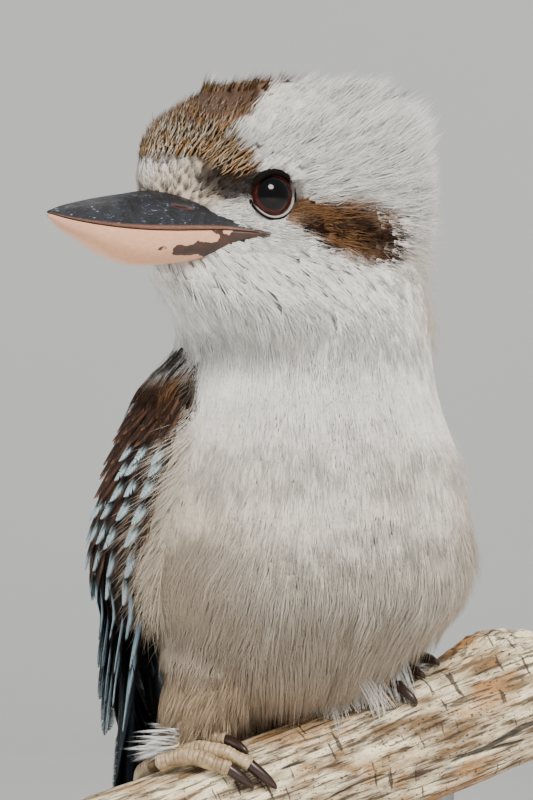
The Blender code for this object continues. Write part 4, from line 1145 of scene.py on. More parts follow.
def skin_uv(azimuth, height):
    """The body unrolled: once round it across, and from vent to crown upward."""
    turn = ((azimuth + math.pi) / (2 * math.pi)) % 1.0
    low, high = SECTIONS[0][0], SECTIONS[-1][0]
    return np.stack((0.01 + 0.98 * turn, 0.01 + 0.98 * (height - low) / (high - low)), axis=-1)


barbs = Finish("feather_barbs", roughness=0.8, specular_ior_level=0.04)
barb_place = barbs.place()
barb_tone = barbs.noise(barb_place, 1900.0, 2.0)
soft_tone = barbs.noise(barb_place, 160.0, 3.0)
barb_shade = barb_tone * 0.22 + soft_tone * 0.10
barbs.feed("Base Color", barbs.mix(barb_shade, barbs.stored("tone"), linear(0.74, 0.69, 0.63), "MULTIPLY"))


def read_place(azimuth, height):
    points = skin_place(azimuth, height)
    ahead, left, _ = to_local(points, HEAD_ORIGIN, HEAD_HEADING)
    body_ahead, body_left, _ = to_local(points, BODY_AXIS, BODY_HEADING)
    return {
        "points": points, "azimuth": azimuth, "height": height, "ahead": ahead, "side": np.abs(left),
        "up": height - EYE_HEIGHT, "body_ahead": body_ahead, "body_side": np.abs(body_left),
        "body_left": body_left,
    }


def in_crown(place):
    return crown_share(place["ahead"], place["side"], place["up"]) > 0.4


def in_face(place):
    near_bill = (place["ahead"] > -0.002) & (place["height"] > 0.160)
    over_eye = (place["up"] > 0.009) & (place["ahead"] < 0.016)
    return near_bill & ~over_eye & ~in_crown(place)


def in_brow(place):
    return (place["height"] > 0.176) & ~in_face(place) & ~in_crown(place)


def in_cheek(place):
    return (place["height"] > 0.130) & (place["height"] <= 0.176) & ~in_face(place)


def on_back(place):
    return (place["body_ahead"] < -0.022) & (place["height"] <= 0.142)


def breast_end(place):
    """The wandering line where the breast's feathers end over the belly's."""
    x, y = place["points"][:, 0], place["points"][:, 1]
    return 0.086 + 0.006 * np.sin(140 * x - 60 * y) + 0.004 * np.sin(330 * x + 210 * y + 1.0)


def in_breast(place):
    return (place["height"] > breast_end(place) - 0.001) & (place["height"] <= 0.142) & ~on_back(place)


def in_belly(place):
    return (place["height"] <= breast_end(place) + 0.001) & ~on_back(place)


# Piece, region, lowest and highest root, pitch, shortest and longest, lock shape, painted shade at the root,
# and how far a lock may stand off the skin
COAT = (
    ("face_feathers", in_face, 0.156, 0.2080, 0.00130, 0.0042, 0.0075,
     (6, 0.00030, (0.0004, 0.0009, 0.0002), 0.26, 0.02, 2), 0.36, 0.004),
    ("crown_lances", in_crown, 0.180, 0.2172, 0.00128, 0.0065, 0.0165,
     (8, 0.00031, (0.0004, 0.0012, 0.0001), 0.36, -0.03, 2), 0.40, 0.010),
    ("brow_fan", in_brow, 0.174, 0.2172, 0.00262, 0.0090, 0.0165,
     (10, 0.00034, (0.0006, 0.0026, 0.0001), 0.32, -0.02, 2), 0.50, 0.0046),
    ("cheek_feathers", in_cheek, 0.130, 0.1765, 0.00268, 0.0090, 0.0155,
     (9, 0.00035, (0.0006, 0.0024, 0.0004), 0.25, 0.02, 2), 0.32, 0.007),
    ("breast_feathers", in_breast, 0.074, 0.1425, 0.00278, 0.0145, 0.0195,
     (11, 0.00032, (0.0008, 0.0032, 0.0018), 0.19, 0.03, 2), 0.34, 0.0036),
    ("belly_feathers", in_belly, 0.012, 0.0980, 0.00345, 0.0160, 0.0250,
     (12, 0.00034, (0.0008, 0.0036, 0.0026), 0.22, 0.02, 2), 0.34, 0.0050),
    ("mantle_feathers", on_back, 0.012, 0.1425, 0.00400, 0.0130, 0.0160,
     (9, 0.00054, (0.0010, 0.0036, 0.0020), 0.15, 0.06, 2), 0.30, 0.0030),
)
coat_draw = np.random.default_rng(23)
for piece_name, region, low, high, pitch, short, longest, shape, painted_root_shade, highest in COAT:
    azimuth, height = root_grid(low, high, pitch, coat_draw)
    place = read_place(azimuth, height)
    keep = region(place) & clear_of_face(place["points"]) & ~under_wing(azimuth, height)
    keep &= (height < HIGHEST_ROOT) & ~((over_thigh(azimuth, height) > 0.002) & (height < THIGH_TOP))
    azimuth, height = azimuth[keep], height[keep]
    place = read_place(azimuth, height)
    normals = skin_normal(azimuth, height)
    roots = place["points"] - normals * (coat_depth(azimuth, height) + 0.0004)[:, None]
    lies = coat_lie(roots, normals, height)
    lies = unit(lies + np.cross(lies, normals) * coat_draw.normal(0, 0.07, (len(height), 1)))
    hang = smooth_step(0.058 - height, 0.0, 0.018) * (place["body_ahead"] > -0.020)
    lies = unit(lies + DOWNWARD * (hang * 0.9)[:, None])
    back_share = smooth_step(-place["ahead"], -0.020, 0.045)
    lengths = short + (longest - short) * back_share
    if region in (in_breast, in_belly, on_back):
        lengths = coat_draw.uniform(short, longest, len(height))
        turn = np.degrees(np.arctan2(place["body_side"], place["body_ahead"]))
        edge_at = wing_row(height, place["body_left"] > 0)[0]
        near_wing = smooth_step(turn - edge_at, -22.0, -4.0) * (height < 0.135) * (height > 0.040)
        lengths = lengths * (1 - 0.45 * near_wing * (coat_draw.uniform(0, 1, len(height)) < 0.85))
    if region is in_face:
        lengths = short + (longest - short) * smooth_step(-place["ahead"], -0.026, 0.002)
    if region in (in_face, in_cheek):
        beard = smooth_step(-place["up"], 0.012, 0.024) * smooth_step(place["ahead"], -0.010, 0.010)
        lengths = lengths + 0.0065 * beard
    lengths = lengths * coat_draw.uniform(0.86, 1.14, len(height))
    if region in (in_crown, in_brow):
        lengths = lengths * (1 + 0.14 * (coat_draw.uniform(0, 1, len(height)) > 0.85))
    for side in (1, -1):
        to_eye = eye_front(side) - place["points"]
        distance = np.linalg.norm(to_eye, axis=1)
        toward = (lies * unit(to_eye)).sum(axis=1)
        room = np.maximum(distance - EYE_CLEAR + 0.0006, 0.0010)
        shorter = np.minimum(lengths, room / np.maximum(toward, 0.3))
        lengths = np.where((toward > 0.2) & (distance < 0.030), shorter, lengths)
    seen_at = place["points"] + lies * lengths[:, None] * 0.6
    ground = markings(seen_at)
    centre, edge = ground, ground
    chance = coat_draw.uniform(0, 1, len(height))
    if region is in_crown:
        darker = np.array(CROWN_DARK) * coat_draw.uniform(0.7, 1.8, (len(height), 1))
        front = smooth_step(place["ahead"], 0.000, 0.026)
        centre, edge = darker, dyed(
            np.tile(CROWN_TAN, (len(height), 1)),
            (front * (chance > 0.35) * 0.9, CREAM),
            ((1 - front) * (chance > 0.4) * 0.7, TAWNY),
            (smooth_step(-place["ahead"], -0.008, 0.020) * (chance > 0.6) * 0.6, CROWN_BROWN),
            (smooth_step(place["up"], 0.017, 0.030) * (chance < 0.75) * 0.6, CROWN_DARK),
        )
    if region is in_face:
        speck = (chance > 0.72) * (1 - smooth_step(np.abs(place["up"] - 0.004), 0.003, 0.009))
        centre = blend_to(ground, CROWN_BROWN, speck * 0.6)
    if region is in_brow:
        streak = (chance > 0.955) * smooth_step(place["up"], 0.016, 0.028)
        centre = blend_to(ground, CROWN_DARK, streak * 0.85)
        # Painted shade: the brow's outer barbs darkened as the shadow lines between its lances.
        edge = centre * 0.72
    if region in (in_cheek, in_brow):
        on_mask = smooth_step(0.22 - ground[:, 2], 0.0, 0.12) * (place["height"] < 0.190)
        front = smooth_step(place["ahead"], -0.032, -0.012)
        tawny, sooty = on_mask * front * (chance > 0.5) * 0.8, on_mask * (chance < 0.35) * 0.75
        centre = dyed(centre, (tawny, TAWNY), (sooty, CROWN_DARK))
        # Painted shade along the outer barbs of cheek and brow locks.
        edge = centre * (0.80 if region is in_brow else 0.88)
    if region is on_back:
        edge = ground * 1.4
    # Painted shade along the outer barbs of breast and belly locks.
    if region in (in_breast, in_belly):
        edge = ground * 0.88
    make_locks(
        piece_name, roots, normals, lies, lengths, shape, (centre, edge, painted_root_shade), skin_uv(azimuth, height),
        "head_plumage" if low >= 0.13 else "breast_plumage", coat_draw, highest,
    )

# Tiny feathers that close the face up to the lids, rooted in four rings and lying away from the eye.
RING_ROWS = ((0.0076, 74), (0.0084, 80), (0.0092, 86), (0.0101, 92))
ring_draw = np.random.default_rng(37)
ring_rows = []
for side in (1, -1):
    _, _, across, up = eye_axes(side)
    for far, count in RING_ROWS:
        turn = np.arange(count) / count * 2 * math.pi + ring_draw.uniform(0, 0.1, count)
        spoke = spokes(turn, across, up)
        places = eye_front(side) + spoke * (far + ring_draw.uniform(-0.0003, 0.0003, (count, 1)))
        height = places[:, 2] - LEVEL
        off_x, off_y = (places[:, :2] - axis_at(height)).T
        azimuth = np.arctan2(off_y, off_x)
        normals = skin_normal(azimuth, height)
        lies = laid_flat(spoke + coat_lie(places, normals, height) * 0.8, normals)
        tones = markings(skin_place(azimuth, height) + lies * 0.0012)
        roots = skin_place(azimuth, height, -0.0006)
        ring_rows.append((roots, normals, lies, tones, skin_uv(azimuth, height)))
roots, normals, lies, tones, root_uv = (np.concatenate(column) for column in zip(*ring_rows))
make_locks(
    "eye_ring_feathers", roots, normals, lies, ring_draw.uniform(0.0022, 0.0034, len(roots)),
    (5, 0.00026, (0.0003, 0.0006, 0.0004), 0.30, 0.05, 2), (tones, tones, 0.25), root_uv,
    "head_plumage", ring_draw,
)

# Loose barbs of the breast's edge that spill over the front of each wing, thin and well apart.
wisp_draw = np.random.default_rng(31)
WISPS = 210
wisp_rows = []
for side in (1, -1):
    height = wisp_draw.uniform(0.036, 0.120, WISPS)
    turn = wing_row(height, side > 0)[0] + wisp_draw.uniform(-12, 6, WISPS)
    wisp_rows.append((BODY_HEADING + side * np.radians(turn), height, np.full(WISPS, float(side))))
azimuth, height, side = (np.concatenate(column) for column in zip(*wisp_rows))
normals = skin_normal(azimuth, height)
roots = skin_place(azimuth, height, 0.0014)
outward = np.stack((-np.sin(azimuth) * side, np.cos(azimuth) * side, 0 * azimuth), axis=-1)
lies = unit(outward * wisp_draw.uniform(0.5, 1.1, (len(outward), 1)) + DOWNWARD)
tone = blend_to(markings(roots), CREAM, wisp_draw.uniform(0.2, 0.7, len(roots)))
make_locks(
    "flank_wisps", roots, normals, laid_flat(lies, normals), wisp_draw.uniform(0.012, 0.022, len(roots)),
    (5, 0.00018, (0.0005, 0.0024, 0.0060), 0.40, 0.14, 3), (tone, tone, 0.30),
    skin_uv(azimuth, height), "breast_plumage", wisp_draw,
)

# Wings
# Two folded wings laid back along the flanks: a fleshy arm, rows of soft brown coverts over it, the
# lower rows tipped pale blue, and stiff black flight feathers that run on past the arm's end.
WING_GAP = 0.0013
ARM_INSET = 0.0016
ARM_SPAN = (0.0385, 0.1284)
ARM_ROWS = 60
ARM_COLUMNS = 30
COVERT_BROWN = linear(0.30, 0.21, 0.17)
COVERT_DARK = linear(0.15, 0.11, 0.10)
COVERT_BUFF = linear(0.72, 0.57, 0.44)
COVERT_RUST = linear(0.58, 0.40, 0.29)
PALE_BLUE = linear(0.76, 0.85, 0.87)
WING_BLUE = linear(0.46, 0.61, 0.72)
FLIGHT_BLACK = linear(0.085, 0.08, 0.085)
FLIGHT_EDGE = linear(0.30, 0.38, 0.44)
TAIL_RUFOUS = linear(0.52, 0.30, 0.18)
TAIL_BLACK = linear(0.11, 0.08, 0.07)
TAIL_WHITE = linear(0.90, 0.88, 0.84)
ROUND_TIP = (0.62, 2.2, 0.6)
STIFF_TIP = (0.72, 2.6, 0.7)
BARB_WIDTH = 0.00034
FLIGHT_BARB_WIDTH = 0.00052
FLIGHT_PITCH = 0.00056
COVERT_PITCH = {"left": 0.00060, "right": 0.00039}
SHAFT_RINGS = 9


def wing_place(side, height, share, lift=0.0, inner=False):
    """Places on the wing: share 0 is its front edge and 1 its back, lift is off its outer face."""
    front, back, thick = wing_row(height, side > 0)
    azimuth = BODY_HEADING + side * np.radians(front + (back - front) * share)
    far = WING_GAP + 0 * share if inner else 0.0024 + wing_bulge(share, thick)
    return skin_place(azimuth, height + 0 * share, far + lift)


def along_path(path, share):
    """Smooth places and directions at shares of a path's length."""
    path = np.asarray(path, float)
    steps = np.linspace(0, 1, len(path))
    fine = np.linspace(0, 1, 60)
    slopes = np.gradient(path, steps, axis=0)
    curve = cubic(steps, path, slopes, fine)
    run = np.concatenate(([0.0], np.cumsum(np.linalg.norm(np.diff(curve, axis=0), axis=1))))
    at = np.interp(share, run / run[-1], fine)
    places, ahead = (
        np.stack([np.interp(at, fine, line[:, k]) for k in range(3)], axis=-1)
        for line in (curve, np.gradient(curve, axis=0))
    )
    return places, unit(ahead), run[-1]


def vane_profile(share, tip):
    """Half width of a feather along it: drawn in at its root, rounded or pointed at its tip."""
    rise = 0.45 + 0.55 * smooth_step(share, 0.0, 0.45)
    fall = np.clip((share - tip[0]) / (1 - tip[0]), 0, 1)
    return rise * np.maximum(1 - fall ** tip[1], 0.0) ** tip[2]


def paint(kind, along, across, own):
    """A feather's colours at shares along it and across it, -1 to 1, the outer vane above 0."""
    side = np.abs(across)
    ground = {"brown": COVERT_BROWN, "pale_tip": COVERT_BROWN, "blue": COVERT_DARK, "tail": TAIL_RUFOUS}
    colour = np.broadcast_to(np.array(ground.get(kind, FLIGHT_BLACK)), along.shape + (3,)) * own
    if kind == "brown":
        rust = smooth_step(np.maximum(side, (along - 0.6) * 2.5), 0.60, 0.95) * 0.85
        return dyed(colour, ((1 - smooth_step(side, 0.0, 0.6)) * 0.85, COVERT_DARK), (rust, COVERT_RUST))
    if kind == "pale_tip":
        tip = smooth_step(along + 0.10 * side, 0.66, 0.80) * (1 - smooth_step(side, 0.55, 0.95) * 0.7)
        buff = smooth_step(side, 0.75, 1.0) * (1 - smooth_step(along, 0.4, 0.7)) * 0.7
        dark = smooth_step(along, 0.25, 0.5)
        return dyed(colour, (dark, COVERT_DARK), (tip, PALE_BLUE), (buff, COVERT_BUFF))
    if kind == "blue":
        mark = smooth_step(along, 0.34, 0.48) * (1 - smooth_step(along, 0.93, 0.99))
        mark = mark * (1 - smooth_step(np.abs(across - 0.06), 0.34, 0.58))
        blue = blend_to(np.array(WING_BLUE), PALE_BLUE, along)
        return blend_to(colour * 0.55, blue, mark)
    if kind == "tail":
        bar = smooth_step(np.sin(along * 46.0 + 0.5 * np.cos(across * 3.0)), 0.0, 0.5)
        return dyed(colour, (bar, TAIL_BLACK), (smooth_step(along, 0.90, 0.94), TAIL_WHITE))
    edge = smooth_step(across, 0.62, 0.95) * (1 - smooth_step(along, 0.45, 0.75))
    return blend_to(colour, FLIGHT_EDGE, edge)


def joined(parts):
    """Points, triangles and further values of several meshes, each joined into one."""
    starts = np.cumsum([0] + [len(part[0]) for part in parts])
    points, _, *others = (np.concatenate(column) for column in zip(*parts))
    return points, np.concatenate([part[1] + start for part, start in zip(parts, starts)]), *others


def bent_line(first, bend, last, t):
    return first * (1 - t) ** 2 + bend * 2 * t * (1 - t) + last * t**2


def make_vanes(name, feathers, pitch, width, slot, draw):
    """One joined mesh of feathers, each a shaft with close barbs either side that lie in its plane."""
    parts = []

    def add_strands(spine, sideways, upward, fat, tone, across, along):
        points, triangles = strands(spine, sideways, upward, fat)
        uv = np.stack((root_uv[0] + PATCH * 0.45 * across, root_uv[1] + PATCH * (along - 0.5)), axis=-1)
        parts.append((points.reshape(-1, 3), triangles, tone.reshape(-1, 3), uv.reshape(-1, 2)))

    for path, half, facing, kind, tip, outer, root_uv in feathers:
        _, _, length = along_path(path, np.array([0.0]))
        count = max(8, int(length / pitch))
        share = np.repeat(np.linspace(0.01, 0.985, count), 2) + draw.uniform(-0.3, 0.3, count * 2) / count
        share = np.clip(share, 0.0, 0.995)
        hand = np.tile((1.0, -1.0), count)
        reach_on = min(0.55, half / 0.62 / length)
        end = share + reach_on * (1 - share)
        facing = np.asarray(facing, float)
        own = draw.uniform(0.85, 1.15)
        split = np.interp(share + 0.5 * hand, np.linspace(-0.5, 1.5, 24), draw.uniform(0, 1, 24)) > 0.86
        out = []
        for places in (share, end):
            middle, ahead, _ = along_path(path, places)
            over = facing[0] * (1 - places[:, None]) + facing[1] * places[:, None]
            over = laid_flat(over, ahead)
            out.append((middle, ahead, over, np.cross(ahead, over)))
        wide = half * vane_profile(end, tip) * draw.uniform(0.93, 1.02, len(end)) * np.where(split, 0.82, 1.0)
        first = out[0][0]
        last = out[1][0] + out[1][3] * (hand * wide)[:, None] - out[1][2] * (wide * 0.14)[:, None]
        last = last + out[1][1] * (wide * np.where(split, 0.25, 0.0))[:, None]
        bend = (first + last) / 2 + out[0][2] * (wide * 0.07)[:, None] - out[0][1] * (wide * 0.05)[:, None]
        spine = np.stack((first, bend, last), axis=1)
        sideways = unit(np.cross(last - first, out[0][2]))
        fat = np.array((1.0, 0.85)).reshape(1, 2, 1) * width
        t = np.array((0, 0, 0, 0.5, 0.5, 0.5, 1.0))
        along = share[:, None] + (end - share)[:, None] * t
        across = (hand * outer * wide / half)[:, None] * t
        jitter = draw.uniform(0.88, 1.10, (len(share), 1, 1))
        tone = paint(kind, along, across, own) * jitter
        add_strands(spine, sideways, out[0][2], fat, tone, across, along)
        shaft_share = np.linspace(0.0, 0.97, SHAFT_RINGS + 1)
        middle, ahead, _ = along_path(path, shaft_share)
        over = unit(facing[0] * (1 - shaft_share[:, None]) + facing[1] * shaft_share[:, None])
        fat = (width * 1.6 * (1 - 0.75 * shaft_share[:-1])).reshape(1, SHAFT_RINGS, 1)
        shaft = (middle + over * width * 0.2)[None]
        t = np.concatenate((np.repeat(shaft_share[:-1], 3), shaft_share[-1:]))
        tone = paint(kind, t, 0 * t, own) * 0.7
        add_strands(shaft, np.cross(ahead, over)[:1], over[:1], fat, tone, 0 * t, t)
    points, triangles, tones, uv = joined(parts)
    stored = {"tone": np.clip(tones, 0, BRIGHTEST)}
    mesh_piece(name, points, triangles, vane_barbs, slot=slot, uv=uv, stored=stored)


# Root height, how many, length, half width, kind, first and last share, lift of the tip
COVERT_TIERS = (
    (0.0500, 8, 0.0300, 0.0050, "blue", 0.06, 0.95, 0.0010),
    (0.0570, 9, 0.0280, 0.0050, "blue", 0.03, 0.95, 0.0014),
    (0.0650, 9, 0.0260, 0.0050, "blue", 0.02, 0.95, 0.0017),
    (0.0730, 9, 0.0240, 0.0049, "blue", 0.01, 0.96, 0.0020),
    (0.0800, 10, 0.0200, 0.0046, "pale_tip", 0.00, 0.96, 0.0022),
    (0.0870, 10, 0.0180, 0.0044, "pale_tip", 0.00, 0.96, 0.0023),
    (0.0940, 11, 0.0165, 0.0042, "pale_tip", 0.00, 0.96, 0.0024),
    (0.1000, 11, 0.0150, 0.0040, "pale_tip", 0.00, 0.96, 0.0024),
    (0.1055, 11, 0.0140, 0.0038, "brown", 0.00, 0.96, 0.0024),
    (0.1105, 11, 0.0130, 0.0037, "brown", 0.00, 0.96, 0.0024),
    (0.1150, 10, 0.0125, 0.0036, "brown", 0.00, 0.96, 0.0024),
    (0.1195, 9, 0.0120, 0.0035, "brown", 0.00, 0.96, 0.0024),
    (0.1235, 7, 0.0115, 0.0034, "brown", 0.02, 0.96, 0.0022),
    (0.1268, 5, 0.0110, 0.0033, "brown", 0.10, 0.90, 0.0016),
)
PRIMARIES = 14
SECONDARIES = 8
INNER_FLIGHTS = 5
FLIGHT_BOW = 0.006
HANG_FROM = 0.056

vane_barbs = Finish("vane_barbs", roughness=0.55, specular_ior_level=0.16)
vane_noise = vane_barbs.noise(vane_barbs.place(), 1500.0, 2.0)
vane_tone = vane_barbs.stored("tone")
vane_dust = linear(0.55, 0.52, 0.50)
vane_barbs.feed("Base Color", vane_barbs.mix(vane_noise * 0.35, vane_tone, vane_dust, "MULTIPLY"))
arm_skin = Finish("arm_under_coverts", roughness=0.9)
arm_noise = arm_skin.noise(arm_skin.stretched(arm_skin.place(), (1.0, 1.0, 0.3)), 800.0, 3.0)
arm_skin.feed("Base Color", arm_skin.mix(arm_noise, COVERT_DARK, COVERT_BROWN))
arm_skin.bump(arm_noise, 0.6, 0.0006)


def wing_out(side, height, share):
    return unit(wing_place(side, height, share, 0.01) - wing_place(side, height, share, 0.0))


def wing_coverts(side, draw):
    feathers = []
    for root, count, length, half, kind, first, last, lift in COVERT_TIERS:
        first = first + (0.14 if side > 0 else 0.0)
        for i in range(count):
            share = first + (last - first) * (i + draw.uniform(-0.18, 0.18)) / (count - 1)
            shown = "pale_tip" if kind == "brown" and i < 3 and root < 0.118 else kind
            low = root - length + draw.uniform(-0.0012, 0.0012)
            heights = np.linspace(root + draw.uniform(-0.001, 0.001), low, 4)
            drift = share + np.linspace(0, 0.03, 4) + draw.uniform(-0.012, 0.012)
            lifts = np.linspace(-0.0012, lift + draw.uniform(-0.0004, 0.0004), 4)
            path = wing_place(side, np.maximum(heights, HANG_FROM), drift, lifts)
            path[:, 2] = heights + LEVEL
            facing = [wing_out(side, heights[k], drift[k]) for k in (0, 3)]
            before, after = (wing_place(side, heights[3], drift[3] + by) for by in (-0.02, 0.02))
            facing[1] = facing[1] + unit(after - before) * 0.18
            uv = (0.05 + 0.9 * share, 0.05 + 0.9 * (root - 0.03) / 0.105)
            feathers.append((path, half, facing, shown, ROUND_TIP, side, uv))
    return feathers


def body_direction(ahead_by, left_by):
    return body_place(ahead_by, left_by, 0.0) - body_place(0.0, 0.0, 0.0)


def wing_flights(side):
    feathers = []
    flank_facing = body_direction(-0.35, side * 0.94)
    front_facing = body_direction(0.30, side * 0.95)
    rear_facing = body_direction(-0.95, side * 0.30)
    for group, count in (("primary", PRIMARIES), ("secondary", SECONDARIES), ("inner", INNER_FLIGHTS)):
        for i in range(count):
            k = i / (count - 1)
            if group == "primary":
                tip = body_place(-0.0580 + 0.0040 * k, side * (0.0350 - 0.0270 * k), -0.032 + 0.020 * k)
                share, root, half = 0.05 + 0.45 * k, 0.054, 0.0074
                tip_facing = front_facing if i % 2 else rear_facing
            elif group == "inner":
                tip = body_place(-0.0310 - 0.0120 * k, side * (0.0280 - 0.0120 * k), 0.008 + 0.004 * k)
                share, root, half, tip_facing = 0.01 + 0.20 * k, 0.052, 0.0086, front_facing
            else:
                tip = body_place(-0.0600 - 0.0024 * k, side * (0.0300 - 0.0048 * k), 0.012 + 0.0060 * k)
                tip = tip + flank_facing * 0.0048 * k
                share, root, half, tip_facing = 0.42 + 0.50 * k, 0.056, 0.0062, flank_facing
            start = wing_place(side, root, share, -0.0030)
            out = wing_out(side, root, share)
            middle = start * 0.55 + tip * 0.45 + out * FLIGHT_BOW
            t = np.linspace(0, 1, 6)[:, None]
            path = bent_line(start, middle, tip, t)
            uv = (0.05 + 0.9 * share, 0.03 + 0.01 * (group == "secondary"))
            feathers.append((path, half, (out, tip_facing), "flight", STIFF_TIP, side, uv))
    return feathers


for side, side_name in ((1, "left"), (-1, "right")):
    wing_draw = np.random.default_rng(41 + side)
    arm_shares = np.linspace(0.02, 0.98, ARM_COLUMNS)
    arm_rings = []
    for height in np.linspace(*ARM_SPAN, ARM_ROWS):
        taper = min(1.0, (height - 0.0375) / 0.012, (0.1300 - height) / 0.006)
        outer = wing_place(side, height, arm_shares, -ARM_INSET * (2 - taper))
        inner = wing_place(side, height, arm_shares[::-1], 0.0, True)
        arm_rings.append(np.concatenate((outer, inner)))
    arm_points, arm_triangles = closed_loft(arm_rings)
    if side < 0:
        arm_triangles = arm_triangles[:, ::-1]
    mesh_piece(
        "wing_arm_" + side_name, arm_points, arm_triangles, arm_skin,
        slot="wing_plumage", replaces=("wing_" + side_name,),
    )
    coverts = wing_coverts(side, wing_draw)
    pitch = COVERT_PITCH[side_name]
    make_vanes("wing_coverts_" + side_name, coverts, pitch, BARB_WIDTH, "wing_plumage", wing_draw)
    flights = wing_flights(side)
    make_vanes(
        "flight_feathers_" + side_name, flights, FLIGHT_PITCH, FLIGHT_BARB_WIDTH, "wing_plumage", wing_draw
    )

# Tail
# Six pairs of long square-ended feathers in a closed fan behind the branch, rufous with black bars
# and white tips, layered outward and down from the middle pair, with short coverts over their root.
TAIL_ROOT = (-0.0440, 0.0330)
TAIL_TIP = (-0.0990, -0.1040)
TAIL_BACK = (-0.927, 0.373)
TAIL_LEVEL = 0.00095
TAIL_PAIRS = 6
TAIL_PITCH = 0.00050
TAIL_BARB_WIDTH = 0.00040
RUMP_ROWS = (0.13, 0.05, -0.03)
SQUARE_TIP = (0.90, 2.4, 0.5)
TAIL_CORE = ((0.0, 0.0100, 0.0042), (0.12, 0.0110, 0.0038), (0.24, 0.0100, 0.0028), (0.30, 0.0070, 0.0014))


def tail_place(share, left_by, over):
    """A place on the tail: share of its length from the root, to its left, over its back."""
    ahead = TAIL_ROOT[0] + (TAIL_TIP[0] - TAIL_ROOT[0]) * share + TAIL_BACK[0] * over
    height = TAIL_ROOT[1] + (TAIL_TIP[1] - TAIL_ROOT[1]) * share + TAIL_BACK[1] * over
    return body_place(ahead, left_by, height)


tail_draw = np.random.default_rng(57)
tail_rings = []
for share, half, thick in TAIL_CORE:
    tail_rings.append([tail_place(share, half * math.cos(t), thick * math.sin(t)) for t in circle(24)])
mesh_piece("tail_root", *closed_loft(tail_rings), arm_skin, slot="tail_plumage", replaces=("tail",))
tail_facing = tail_place(0.5, 0.0, 1.0) - tail_place(0.5, 0.0, 0.0)
tail_feathers = []
for side in (1, -1):
    for i in range(TAIL_PAIRS):
        length = 1.0 - 0.018 * i
        level = i + 1 if i or side < 0 else 0
        inset = 0.0062 if i else 0.0024
        path = []
        for t in np.linspace(0, 1, 6):
            over = 0.0034 - TAIL_LEVEL * level + 0.0010 * math.sin(math.pi * t)
            left_by = side * (inset + (0.0004 + 0.0024 * i) * t)
            path.append(tail_place(0.06 + (length - 0.06) * t, left_by, over))
        uv = (0.5 + side * 0.06 * i, 0.05)
        tail_feathers.append((path, 0.0060, (tail_facing, tail_facing), "tail", SQUARE_TIP, side, uv))
for row, share in enumerate(RUMP_ROWS):
    count = 5 - row % 2
    for i in range(count):
        left_by = (i - (count - 1) / 2) * 0.0048
        path = [
            tail_place(share + 0.17 * t, left_by * (1 - 0.15 * t), 0.0056 - 0.0016 * t)
            for t in np.linspace(0, 1, 5)
        ]
        uv = (0.5 + 0.05 * i, 0.2)
        tail_feathers.append((path, 0.0044, (tail_facing, tail_facing), "brown", ROUND_TIP, 1, uv))
make_vanes("tail_feathers", tail_feathers, TAIL_PITCH, TAIL_BARB_WIDTH, "tail_plumage", tail_draw)

# Thighs and feet
# Feathered thighs end in a short pale tuft over scaled toes: broad plates across the top of each
# toe, fine bumps beneath, three toes over the branch and one behind it.
scaly = Finish("scaled_toes", roughness=0.5, coat_weight=0.1)
scale_seam = scaly.stored("seam", "Fac")
scale_noise = scaly.noise(scaly.place(), 900.0, 4.0)
scale_shade = scaly.noise(scaly.place(), 260.0, 3.0)
scaly.feed("Base Color", scaly.layers(
    scaly.mix(scale_noise, linear(0.50, 0.40, 0.28), linear(0.80, 0.71, 0.56)),
    (scale_shade.above(0.52, 0.16) * 0.55, linear(0.42, 0.30, 0.19)),
    (scale_seam * 0.9, linear(0.22, 0.15, 0.09)),
))
scaly.bump(scale_noise, 0.4, 0.0004)

claw_horn = Finish("claw_horn", roughness=0.35, specular_ior_level=0.3, coat_weight=0.1)
claw_noise = claw_horn.noise(claw_horn.place(), 700.0, 3.0)
claw_horn.feed("Base Color", claw_horn.layers(
    claw_horn.mix(claw_noise, linear(0.10, 0.065, 0.05), linear(0.24, 0.16, 0.13)),
    (claw_horn.stored("seam", "Fac") * 0.6, linear(0.05, 0.04, 0.04)),
))


def tube_rings(path, radii, over_first):
    """Rings square to a path, each starting at the side that faces up from the branch."""
    path = np.asarray(path)
    ahead = unit(np.gradient(path, axis=0))
    over = laid_flat(over_first, ahead)
    across = np.cross(ahead, over)
    turn = circle(radii.shape[1])
    spoke = over[:, None] * np.cos(turn)[None, :, None] + across[:, None] * np.sin(turn)[None, :, None]
    return path[:, None] + spoke * radii[..., None], turn


TOE_RINGS = 110
PLATE_LENGTH = 0.00135
SHANK_PLATES = 9
TOE_SIDES = 26
CLAW_SIDES = 18
CURVE_STEPS = 40
THIGH_LOCKS = 620
TUFT_LOCKS = 90


